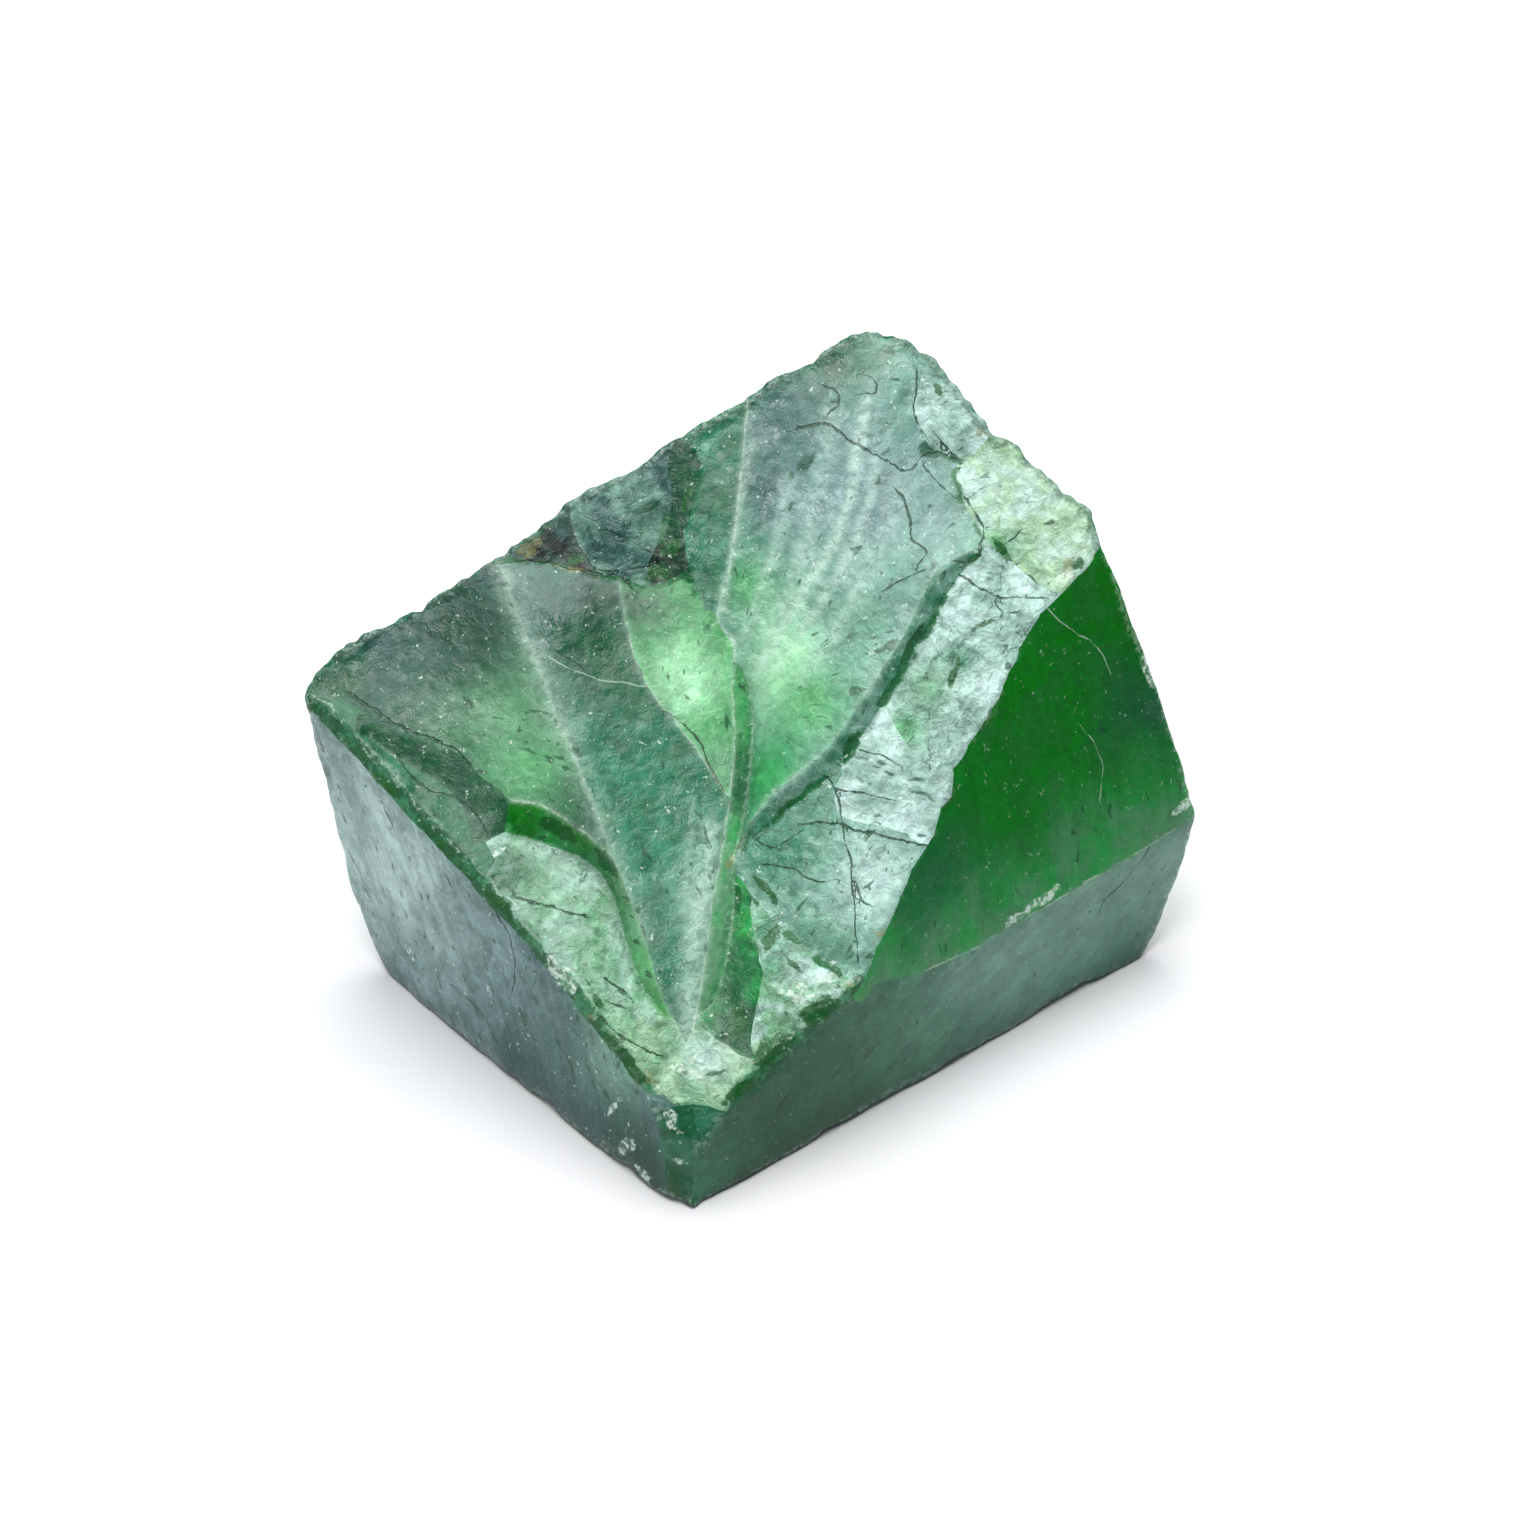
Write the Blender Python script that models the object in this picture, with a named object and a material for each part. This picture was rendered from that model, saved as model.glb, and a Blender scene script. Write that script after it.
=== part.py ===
"""Raw emerald crystal: one broken block of green beryl that stands on a flat foot.

Two steep worn walls meet at the front corner and two rougher ones close the back. Over them slopes
the break, a large uneven fracture that falls from the back corner towards the front, and beside it
lies a smooth three-cornered cleavage face. Sizes are millimetres until the mesh is made, +Z is up
and the origin is on the foot. The front corner points to -X and -Y.
"""
import math

import bmesh
import bpy
import numpy as np
from mathutils import Vector, noise
from mathutils.geometry import delaunay_2d_cdt

MM = 0.001

# ---- Driving dimensions ------------------------------------------------------------------------

# The break is drawn on a sloping plane. U runs across it, W up its slope, and lift stands off it.
BREAK_HEIGHT = 21.3
BREAK_TILT = math.radians(33.5)
BREAK_FACING = math.radians(-132.0)

# Corners of the foot, on the ground.
FOOT_LEFT = (-24.3, 15.3, 0.0)
FOOT_TOE_LEFT = (-22.0, -15.1, 0.0)
FOOT_TOE_RIGHT = (-20.9, -16.9, 0.0)
FOOT_RIGHT = (19.3, -17.0, 0.0)
FOOT_BACK = (16.0, 12.5, 0.0)
# The sharp lower corner of the cleavage face, at the right.
RIGHT_TIP = (24.5, -16.4, 10.5)

# Distance between points of the mesh on each face.
BREAK_PITCH = 0.98
WALL_PITCH = 1.3
BACK_PITCH = 1.8
FOOT_PITCH = 3.2
SNAP = 0.55            # a crease point closer than this share of the pitch joins its neighbour
CLEAR = 0.72           # room that fill points leave around creases, as a share of the pitch

# Chipped bevel along the two front rims.
CHIP_WIDTH = 1.1
CHIP_RISE = 0.45

# Wear of the arrises, and unevenness of the surfaces.
ARRIS_WEAR = 0.16
ARRIS_WEAR_CHANGE = 0.16
FOOT_WEAR = 0.3
RIM_SCALLOP = 0.22
ARRIS_SCALLOP = 0.12
SURFACE_WAVES = {"break": 0.05, "cleavage": 0.03, "left": 0.10, "toe": 0.05, "right": 0.07,
                 "back_left": 0.40, "back_right": 0.32, "foot": 0.0}
WAVE_LENGTH = 6.0
GRAIN_LENGTH = 1.7
GRAIN_SHARE = 0.4

NODE = "emerald_crystal"


def break_frame():
    """The break's own axes: across it, up its slope, and off its face."""
    normal = Vector((math.cos(BREAK_FACING) * math.sin(BREAK_TILT),
                     math.sin(BREAK_FACING) * math.sin(BREAK_TILT),
                     math.cos(BREAK_TILT)))
    across = Vector((-math.sin(BREAK_FACING), math.cos(BREAK_FACING), 0.0))
    return across, normal.cross(across), normal


ACROSS, UPHILL, OFF = break_frame()
MIDDLE = Vector((0.0, 0.0, BREAK_HEIGHT))


def on_break(u, w, lift=0.0):
    """A point of the break, from its drawing."""
    return MIDDLE + ACROSS * u + UPHILL * w + OFF * lift


# ---- Corners and edges of the block ------------------------------------------------------------

CORNERS = {
    "left_tip": on_break(-33.2, -0.3, -0.1),
    "crown": on_break(4.5, 28.9, 0.0),
    "shoulder": on_break(21.4, 13.5, 0.0),
    "saddle": on_break(6.2, -18.7, 0.0),
    "toe_right": on_break(-1.5, -26.5, -0.1),
    "toe_left": on_break(-7.6, -26.6, 0.6),
    "right_tip": Vector(RIGHT_TIP),
    "foot_left": Vector(FOOT_LEFT),
    "foot_toe_left": Vector(FOOT_TOE_LEFT),
    "foot_toe_right": Vector(FOOT_TOE_RIGHT),
    "foot_right": Vector(FOOT_RIGHT),
    "foot_back": Vector(FOOT_BACK),
}

# Edges that lie on the break: (from, to, points between in the drawing).
RIMS = {
    "left_rim": ("toe_left", "left_tip", [
        (-11.3, -22.7, 0.6), (-15.4, -18.1, 0.6), (-18.7, -14.7, 0.5), (-21.9, -11.6, 0.4),
        (-26.0, -7.6, 0.2), (-30.6, -3.0, 0.0)]),
    "back_rim": ("left_tip", "crown", [
        (-33.0, 1.4, 0.0), (-31.5, 3.0, 0.0), (-28.5, 5.5, 0.0), (-23.7, 8.5, 0.0), (-20.6, 11.1, 0.0),
        (-17.1, 13.8, 0.0), (-15.9, 15.1, 0.0), (-11.1, 18.2, 0.0), (-9.6, 19.5, 0.0),
        (-3.9, 23.5, 0.0), (-1.1, 25.6, 0.0), (3.0, 28.4, 0.0)]),
    "right_rim": ("crown", "shoulder", [
        (6.7, 28.5, 0.0), (8.2, 27.5, 0.0), (11.0, 24.7, 0.0), (13.6, 21.2, 0.0),
        (15.0, 20.8, 0.0), (18.3, 17.6, 0.0), (20.4, 16.1, 0.0)]),
    "ridge": ("shoulder", "saddle", [
        (20.1, 11.5, 0.0), (16.8, 7.6, 0.0), (14.8, 2.6, 0.0), (12.4, -2.2, 0.0),
        (10.3, -8.1, 0.0), (8.3, -12.9, 0.0)]),
    "front_rim": ("saddle", "toe_right", [
        (4.5, -20.6, 0.0), (2.2, -22.9, 0.0), (0.4, -24.6, -0.1)]),
    "toe_rim": ("toe_right", "toe_left", [(-4.4, -27.3, 0.3)]),
}

# Edges off the break: (from, to, points between, in the stone's own X, Y and Z).
ARRISES = {
    "cleavage_foot": ("saddle", "right_tip", [
        (-0.5, -16.0, 9.5), (6.2, -16.1, 9.2), (15.2, -16.2, 9.7), (19.9, -16.2, 9.9)]),
    "cleavage_side": ("shoulder", "right_tip", [
        (23.8, -7.6, 25.7), (24.3, -10.8, 20.2), (24.5, -13.4, 15.4)]),
    "left_corner": ("left_tip", "foot_left", [
        (-24.7, 21.0, 15.5), (-24.5, 19.4, 8.5), (-24.4, 17.8, 3.2)]),
    "right_corner": ("right_tip", "foot_right", [
        (23.4, -16.5, 7.2), (22.0, -16.7, 3.6), (20.8, -16.8, 1.2)]),
    "toe_left_arris": ("toe_left", "foot_toe_left", [(-21.1, -13.2, 6.0), (-21.3, -14.0, 2.8)]),
    "toe_right_arris": ("toe_right", "foot_toe_right", [(-19.3, -15.8, 4.9), (-20.2, -15.9, 2.0)]),
    "back_corner": ("crown", "foot_back", [
        (20.3, 15.4, 29.0), (19.2, 14.2, 18.0), (17.8, 13.6, 8.0)]),
    "foot_left_side": ("foot_left", "foot_toe_left", [(-24.1, 8.0, 0.0), (-23.1, -3.8, 0.0)]),
    "foot_toe": ("foot_toe_left", "foot_toe_right", []),
    "foot_front": ("foot_toe_right", "foot_right", [(-2.8, -17.0, 0.0), (10.2, -16.9, 0.0)]),
    "foot_right_side": ("foot_right", "foot_back", [(17.2, -7.0, 0.0), (17.6, 4.0, 0.0)]),
    "foot_back_side": ("foot_back", "foot_left", [(2.0, 12.2, 0.0), (-13.0, 14.6, 0.0)]),
}

# Each face of the block: the edges round it, and the distance between its points.
FACES = {
    "break": (["left_rim", "back_rim", "right_rim", "ridge", "front_rim", "toe_rim"], BREAK_PITCH),
    "cleavage": (["ridge", "cleavage_side", "cleavage_foot"], WALL_PITCH),
    "left": (["left_rim", "left_corner", "foot_left_side", "toe_left_arris"], WALL_PITCH),
    "toe": (["toe_rim", "toe_left_arris", "foot_toe", "toe_right_arris"], WALL_PITCH),
    "right": (["front_rim", "cleavage_foot", "right_corner", "foot_front", "toe_right_arris"],
              WALL_PITCH),
    "back_left": (["back_rim", "back_corner", "foot_back_side", "left_corner"], BACK_PITCH),
    "back_right": (["right_rim", "cleavage_side", "right_corner", "foot_right_side",
                    "back_corner"], BACK_PITCH),
    "foot": (["foot_left_side", "foot_toe", "foot_front", "foot_right_side", "foot_back_side"],
             FOOT_PITCH),
}

# ---- Creases and ledges of the break, in its drawing -------------------------------------------

RIB_FORK = (-5.1, 7.2, -1.0)
RIB_END = (-5.2, -23.1, -0.3)
SCALE_CORNER = (-20.5, 10.4, 0.2)
SCARP_START = (13.3, 13.2, -0.1)
SCARP_END = (-2.9, -9.9, -1.4)
STEP_START = (-20.4, -10.4, 0.5)
STEP_HEEL = (-18.6, -9.0, -0.3)
SHELF_END = (-18.3, -6.9, 0.3)
LENS_START = (-12.1, 9.6, -0.7)

CREASES = {
    "rib": [(-3.9, 23.2, 0.0), (-4.2, 14.2, -0.3), (-4.5, 10.6, -0.6), RIB_FORK,
            (-3.9, 5.4, -1.2), (-3.7, 1.4, -1.4), (-3.4, -2.1, -1.4), (-3.7, -8.6, -1.1),
            (-4.2, -13.6, -0.6), (-4.7, -20.7, -0.2), RIB_END],
    "rib_foot": [(-3.9, 5.4, -1.2), (-2.6, 2.0, -1.9), (-2.2, -1.9, -2.0), (-2.3, -6.4, -1.8),
                 SCARP_END],
    "rib_ditch": [SCARP_END, (-2.7, -13.8, -1.5), (-3.3, -19.0, -1.1), RIB_END],
    "splinter": [(-7.8, 19.9, 0.0), (-6.8, 17.7, -0.1), (-7.7, 12.6, -0.4), (-6.3, 8.4, -0.9),
                 RIB_FORK],
    "keel": [SCALE_CORNER, (-17.9, 4.4, 0.7), (-15.3, -1.3, 1.0), (-13.0, -6.2, 1.1),
             (-10.7, -11.2, 0.7), (-8.7, -15.6, 0.3), (-6.9, -20.3, 0.0), RIB_END],
    "lens": [LENS_START, (-10.9, 4.8, -0.4), (-9.4, 1.6, -0.4), (-6.5, -1.7, -0.8),
             (-3.5, -5.7, -1.3)],
    "scales": [SCALE_CORNER, (-17.0, 10.5, -0.4), (-14.2, 10.0, -0.6), LENS_START, (-9.9, 9.2, -0.8),
               (-7.6, 10.0, -0.9), (-6.3, 8.4, -0.9)],
    "scale_left": [(-15.9, 14.8, 0.0), (-15.4, 13.0, -0.4), (-14.2, 10.0, -0.6)],
    "scale_right": [(-9.6, 19.2, 0.0), (-8.8, 15.2, -0.7), (-10.1, 11.1, -0.9),
                    (-9.9, 9.2, -0.8)],
    "step_top": [SHELF_END, (-16.2, -7.2, 0.4), (-14.1, -8.3, 0.5), (-12.0, -9.8, 0.7),
                 (-10.7, -11.2, 0.7)],
    "step_side": [STEP_HEEL, SHELF_END],
    "step_foot": [STEP_START, STEP_HEEL, (-15.9, -9.6, -0.7), (-12.7, -10.7, -0.8),
                  (-11.0, -12.8, -0.7), (-9.9, -15.8, -0.6), (-8.6, -19.1, -0.5), RIB_END],
    "shelf": [(-32.0, -0.1, 0.0), (-29.9, -0.6, 0.1), (-27.7, -2.2, 0.1), (-22.4, -3.6, -0.2),
              (-20.6, -5.1, -0.1), SHELF_END],
    "bench": [(-29.8, -1.8, 0.1), (-26.9, -3.8, -0.2), (-24.0, -5.3, -0.3), (-21.7, -7.1, -0.3),
              STEP_START],
    "scarp_top": [SCARP_START, (11.4, 11.9, 0.5), (9.8, 10.6, 0.7), (7.8, 6.0, 0.7),
                  (5.6, 1.9, 0.7), (3.2, -2.1, 0.5), (0.9, -4.2, 0.1), (-0.6, -5.6, -0.2),
                  (-2.0, -7.6, -0.8), SCARP_END],
    "scarp_foot": [SCARP_START, (11.1, 10.2, -0.2), (8.9, 5.6, -0.2), (6.7, 1.3, -0.1),
                   (4.2, -2.8, -0.2), (1.7, -5.2, -0.5), (-0.4, -7.3, -1.0), SCARP_END],
    "silver_edge": [(6.7, 1.3, -0.1), (7.9, -1.0, 0.2), (9.4, -3.1, 0.3), (11.5, -5.3, 0.0)],
    "cross_edge": [(4.2, -2.8, -0.2), (3.7, -5.7, -0.3), (4.7, -7.1, -0.1), (7.3, -7.5, 0.1),
                   (10.0, -8.7, 0.0)],
    "leaf_edge": [SCARP_END, (-1.7, -12.3, -1.0), (0.2, -14.3, -0.8), (2.0, -15.9, -0.6),
                  (6.2, -18.7, 0.0)],
    "leaf_tail": [(-1.7, -12.3, -1.0), (-1.3, -15.2, -0.5), (-0.4, -18.0, -0.2),
                  (-1.0, -21.9, -0.1), (-1.0, -24.1, 0.0)],
    "toe_patch": [(-6.6, -25.6, 0.2), (-6.3, -24.4, 0.0), RIB_END, (-4.2, -22.1, 0.1),
                  (-2.5, -23.2, 0.2), (-1.0, -24.1, 0.0)],
    "crown_edge": [(8.2, 27.5, 0.0), (8.1, 25.1, -0.1), (7.7, 22.8, -0.2), (9.4, 20.0, -0.6),
                   (11.2, 19.7, -0.7), (13.6, 21.2, 0.0)],
    "corner_edge": [(11.2, 19.7, -0.7), (10.9, 17.8, -0.5), (12.4, 14.6, -0.4), SCARP_START,
                    (14.9, 12.1, -0.5), (18.1, 9.5, 0.0)],
}

# How the ground between creases swells (+) or is hollowed (-), at the middle of each patch.
PATCHES = [
    (-23.0, 3.0, -0.010), (-25.0, -5.0, 0.010), (-14.0, -15.0, 0.006), (-11.5, -2.0, -0.010),
    (-7.0, 4.0, 0.020), (-12.0, 13.0, 0.045), (-17.5, 12.0, 0.060), (3.0, 8.0, -0.004),
    (-6.0, 13.0, -0.020), (8.0, 23.0, 0.012), (15.0, 16.0, 0.020), (11.0, 5.0, 0.014),
    (7.5, -4.5, 0.008), (2.5, -10.0, 0.008), (2.0, -18.0, 0.050), (-3.0, -17.0, 0.0),
]

# Ledges and scoops of the two hidden walls: (along 0 to 1, up 0 to 1, out in mm).
BACK_LEDGES = {
    "back_left": [
        [(0.22, 1.0, 0.0), (0.30, 0.78, 1.1), (0.27, 0.52, 1.5), (0.36, 0.28, 0.9), (0.34, 0.0, 0.0)],
        [(0.27, 0.52, 1.5), (0.45, 0.60, -0.6), (0.62, 0.52, -0.9), (0.78, 0.66, 0.5),
         (1.0, 0.62, 0.0)],
        [(0.62, 0.52, -0.9), (0.66, 0.28, 0.8), (0.74, 0.0, 0.0)],
        [(0.55, 1.0, 0.0), (0.58, 0.84, 0.8), (0.62, 0.52, -0.9)],
    ],
    "back_right": [
        [(0.34, 1.0, 0.0), (0.30, 0.72, 1.0), (0.40, 0.48, 1.3), (0.34, 0.24, 0.7), (0.42, 0.0, 0.0)],
        [(0.40, 0.48, 1.3), (0.62, 0.42, -0.7), (0.84, 0.30, 0.2), (1.0, 0.22, 0.0)],
        [(0.62, 0.42, -0.7), (0.66, 0.72, 0.6), (0.72, 1.0, 0.0)],
    ],
}
# Corners between which each hidden wall is measured: foot start, foot end, top start, top end.
BACK_SPANS = {
    "back_left": ("foot_back", "foot_left", "crown", "left_tip"),
    "back_right": ("foot_right", "foot_back", "right_tip", "crown"),
}
BACK_HOLLOW = -0.012


# ---- Curves and edges --------------------------------------------------------------------------

def smooth_curve(points, pitch):
    """Points about one pitch apart on a smooth curve through the given ones."""
    points = [Vector(p) for p in points]
    padded = [2 * points[0] - points[1]] + points + [2 * points[-1] - points[-2]]
    fine = []
    for a, b, c, d in zip(padded, padded[1:], padded[2:], padded[3:]):
        for step in range(12):
            t = step / 12
            fine.append(0.5 * (2 * b + (c - a) * t + (2 * a - 5 * b + 4 * c - d) * t ** 2
                               + (3 * b - a - 3 * c + d) * t ** 3))
    fine.append(points[-1])
    travelled = np.cumsum([0.0] + [(q - p).length for p, q in zip(fine, fine[1:])])
    count = max(1, round(travelled[-1] / pitch))
    places = np.linspace(0.0, travelled[-1], count + 1)
    table = np.array([tuple(p) for p in fine])
    columns = [np.interp(places, travelled, table[:, axis]) for axis in range(3)]
    return [Vector(row) for row in zip(*columns)]


def scallop(place, size):
    """A small sideways wander, the same for the same place."""
    return noise.noise_vector(place * 0.55) * size


def block_edges():
    """Every edge of the block as a list of points, with the same end point where edges meet."""
    edges = {}
    for name, (start, end, between) in RIMS.items():
        path = [CORNERS[start]] + [on_break(*p) for p in between] + [CORNERS[end]]
        edges[name] = smooth_curve(path, BREAK_PITCH)
    for name, (start, end, between) in ARRISES.items():
        pitch = BACK_PITCH if "back" in name or "right_side" in name else WALL_PITCH
        path = [CORNERS[start]] + [Vector(p) for p in between] + [CORNERS[end]]
        edges[name] = smooth_curve(path, pitch)
    for name, path in edges.items():
        on_foot = name.startswith("foot")
        size = RIM_SCALLOP if name in RIMS else ARRIS_SCALLOP
        for point in path[1:-1]:
            wander = scallop(point, size)
            point += Vector((wander.x, wander.y, 0.0)) if on_foot else wander
    return edges


# ---- The mesh as it grows ----------------------------------------------------------------------

class Skin:
    """Shared points, and the triangles of all faces over them."""

    def __init__(self, edges):
        self.points = []
        self.triangles = []
        self.face_of_point = {}
        self.corner_numbers = {name: self.add(place) for name, place in CORNERS.items()}
        self.edge_numbers = {}
        for name, path in edges.items():
            start, end = (RIMS.get(name) or ARRISES.get(name))[:2]
            middle = [self.add(point) for point in path[1:-1]]
            self.edge_numbers[name] = [self.corner_numbers[start]] + middle + [
                self.corner_numbers[end]]

    def add(self, place):
        self.points.append(Vector(place))
        return len(self.points) - 1

    def loop(self, names):
        """The numbers of the points round a face, each edge turned to follow the one before."""
        first, second = (self.edge_numbers[name] for name in names[:2])
        loop = list(first) if first[-1] in (second[0], second[-1]) else list(reversed(first))
        for name in names[1:]:
            path = self.edge_numbers[name]
            if path[0] != loop[-1]:
                path = list(reversed(path))
            loop += path[1:]
        return loop[:-1]


def face_axes(places, outward):
    """Axes of the plane that fits a face's border best, with the third pointing outward."""
    middle = sum(places, Vector()) / len(places)
    spread = np.array([tuple(p - middle) for p in places])
    axes = np.linalg.svd(spread)[2]
    normal = Vector(axes[2])
    if normal.dot(outward(middle)) < 0:
        normal = -normal
    across = Vector(axes[0])
    return middle, across, normal.cross(across), normal


def lattice(low, high, pitch):
    """Fill points in rows, every other row shifted by half a pitch, each moved a little."""
    rows = int((high[1] - low[1]) / (pitch * math.sqrt(0.75))) + 1
    columns = int((high[0] - low[0]) / pitch) + 2
    for row in range(rows):
        for column in range(columns):
            place = Vector((low[0] + (column + 0.5 * (row % 2)) * pitch,
                            low[1] + row * pitch * math.sqrt(0.75)))
            stir = noise.noise_vector(Vector((place.x, place.y, 7.3)) * 1.9) * pitch * 0.22
            yield place + stir.to_2d()


class Patchwork:
    """One face laid out flat: fixed points with known lifts, creases between them, and fill."""

    def __init__(self, flat_border, lifts, pitch):
        self.flat = [Vector(p) for p in flat_border]
        self.lifts = dict(enumerate(lifts))
        count = len(self.flat)
        self.links = [(i, (i + 1) % count) for i in range(count)]
        self.pitch = pitch

    def nearest(self, place):
        gaps = [(place - p).length for p in self.flat]
        best = min(range(len(gaps)), key=gaps.__getitem__)
        return best, gaps[best]

    def crease(self, path):
        """Adds a crease. Its ends join what they reach, so that ledges run into each other."""
        before = None
        for number, point in enumerate(path):
            place = point.to_2d()
            near, gap = self.nearest(place)
            at_end = number in (0, len(path) - 1)
            if gap > self.pitch * (SNAP * 1.6 if at_end else SNAP):
                self.flat.append(place)
                near = len(self.flat) - 1
                self.lifts[near] = point.z
            if before is not None and near != before:
                self.links.append((before, near))
            before = near

    def fill(self):
        fixed = np.array([tuple(p) for p in self.flat])
        room = self.pitch * CLEAR
        for place in lattice(fixed.min(axis=0), fixed.max(axis=0), self.pitch):
            if np.min(np.hypot(fixed[:, 0] - place.x, fixed[:, 1] - place.y)) > room:
                self.flat.append(place)

    def triangulate(self):
        """Triangles inside the border. New crossings of creases become points of their own."""
        flat, _, faces, origins, _, _ = delaunay_2d_cdt(self.flat, self.links, [], 1, 1e-5)
        known = {}
        for number, sources in enumerate(origins):
            fixed = [source for source in sources if source in self.lifts]
            if fixed:
                known[number] = (fixed[0], self.lifts[fixed[0]])
        return flat, faces, known


def relaxed_lifts(count, triangles, known, load):
    """Lifts of all points: the known ones hold, and the rest hang between them like a skin."""
    neighbours = [set() for _ in range(count)]
    for triangle in triangles:
        for corner in triangle:
            neighbours[corner].update(triangle)
    free = [n for n in range(count) if n not in known and len(neighbours[n]) > 1]
    place = {number: row for row, number in enumerate(free)}
    matrix = np.zeros((len(free), len(free)))
    pull = np.zeros(len(free))
    for row, number in enumerate(free):
        around = neighbours[number] - {number}
        matrix[row, row] = 1.0
        pull[row] = load[number]
        for other in around:
            if other in known:
                pull[row] += known[other] / len(around)
            else:
                matrix[row, place[other]] -= 1.0 / len(around)
    lifts = np.zeros(count)
    lifts[free] = np.linalg.solve(matrix, pull)
    for number, lift in known.items():
        lifts[number] = lift
    return lifts


def patch_load(flat):
    """Swelling of the break at a place in its drawing, that of the nearest patch."""
    gaps = [(flat.x - u) ** 2 + (flat.y - w) ** 2 for u, w, _ in PATCHES]
    return PATCHES[gaps.index(min(gaps))][2]


def chipped_rim(name, skin, flatten):
    """The inner line of the bevel that follows a front rim, from one end of the rim to the other."""
    path = [flatten(skin.points[n]) for n in skin.edge_numbers[name]]
    line = []
    for a, b in zip(path, path[1:]):
        along = (b - a).to_2d().normalized()
        inward = Vector((along.y, -along.x)) * CHIP_WIDTH
        middle = (a + b) / 2
        line.append(Vector((*(middle.to_2d() + inward), middle.z + CHIP_RISE)))
    return [path[0]] + line[1:-1] + [path[-1]]


def ledge_paths(name, flatten):
    """Creases of a hidden wall, laid out flat."""
    start, end, top_start, top_end = (CORNERS[corner] for corner in BACK_SPANS[name])
    for ledge in BACK_LEDGES[name]:
        path = []
        for along, up, out in ledge:
            low = start.lerp(end, along)
            high = top_start.lerp(top_end, along)
            place = flatten(low.lerp(high, up))
            path.append(Vector((place.x, place.y, place.z + out)))
        yield smooth_curve(path, BACK_PITCH)


def build_face(name, skin, outward):
    """Meshes one face of the block inside its border and adds it to the skin."""
    names, pitch = FACES[name]
    border = skin.loop(names)
    places = [skin.points[number] for number in border]
    if name == "break":
        middle, across, uphill, normal = MIDDLE, ACROSS, UPHILL, OFF
    else:
        middle, across, uphill, normal = face_axes(places, outward)

    def flatten(point):
        arm = point - middle
        return Vector((arm.dot(across), arm.dot(uphill), arm.dot(normal)))

    flat_border = [flatten(place) for place in places]
    work = Patchwork([p.to_2d() for p in flat_border], [p.z for p in flat_border], pitch)
    if name == "break":
        for rim in ("front_rim", "left_rim"):
            work.crease(chipped_rim(rim, skin, flatten))
        for path in CREASES.values():
            work.crease(smooth_curve(path, pitch))
    if name in BACK_LEDGES:
        for path in ledge_paths(name, flatten):
            work.crease(path)
    work.fill()
    flat, triangles, known = work.triangulate()
    if name == "break":
        load = [patch_load(p) for p in flat]
    else:
        load = [BACK_HOLLOW if name in BACK_LEDGES else 0.0] * len(flat)
    lifts = relaxed_lifts(len(flat), triangles, {n: lift for n, (_, lift) in known.items()}, load)
    used = sorted({corner for triangle in triangles for corner in triangle})
    numbers = {}
    for number in used:
        source = known[number][0] if number in known else None
        if source is not None and source < len(border):
            numbers[number] = border[source]
            continue
        place = middle + across * flat[number].x + uphill * flat[number].y + normal * lifts[number]
        numbers[number] = skin.add(place)
        skin.face_of_point[numbers[number]] = name
    skin.triangles += [[numbers[corner] for corner in triangle] for triangle in triangles]


# ---- Wear and surface --------------------------------------------------------------------------

def wear_arrises(mesh, arris_numbers):
    """Rounds the edges of the block, the ones it stands on most."""
    moved = {}
    for number in arris_numbers:
        vertex = mesh.verts[number]
        around = sum((e.other_vert(vertex).co for e in vertex.link_edges), Vector())
        around /= len(vertex.link_edges)
        wear = FOOT_WEAR if vertex.co.z < 0.01 else ARRIS_WEAR
        wear += ARRIS_WEAR_CHANGE * noise.noise(vertex.co * 0.4)
        moved[number] = vertex.co.lerp(around, wear)
    for number, place in moved.items():
        mesh.verts[number].co = place


def roughen(mesh, face_of_point):
    """Waves and grain along each point's own normal, stronger on the broken back walls."""
    mesh.normal_update()
    for number, name in face_of_point.items():
        vertex = mesh.verts[number]
        depth = SURFACE_WAVES[name]
        if depth:
            wave = noise.noise(vertex.co / WAVE_LENGTH + Vector((3.1, 0.0, 0.0)))
            grain = noise.noise(vertex.co / GRAIN_LENGTH)
            vertex.co += vertex.normal * depth * (wave + GRAIN_SHARE * grain)


def crystal_mesh():
    """The whole stone as one closed mesh, in metres."""
    edges = block_edges()
    skin = Skin(edges)
    centre = sum(CORNERS.values(), Vector()) / len(CORNERS)

    def outward(place):
        return place - centre

    for name in FACES:
        build_face(name, skin, outward)
    mesh = bmesh.new()
    vertices = [mesh.verts.new(point) for point in skin.points]
    for triangle in skin.triangles:
        mesh.faces.new([vertices[number] for number in triangle])
    mesh.verts.ensure_lookup_table()
    bmesh.ops.recalc_face_normals(mesh, faces=mesh.faces)
    arris_numbers = sorted({n for path in skin.edge_numbers.values() for n in path})
    wear_arrises(mesh, arris_numbers)
    roughen(mesh, skin.face_of_point)
    bmesh.ops.scale(mesh, vec=(MM, MM, MM), verts=mesh.verts)
    return mesh


def emerald():
    """Dull green beryl, worn and slightly waxy."""
    material = bpy.data.materials.new("emerald")
    material.use_nodes = True
    shader = material.node_tree.nodes["Principled BSDF"]
    shader.inputs["Base Color"].default_value = (0.075, 0.24, 0.13, 1.0)
    shader.inputs["Roughness"].default_value = 0.38
    shader.inputs["Metallic"].default_value = 0.0
    return material


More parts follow.
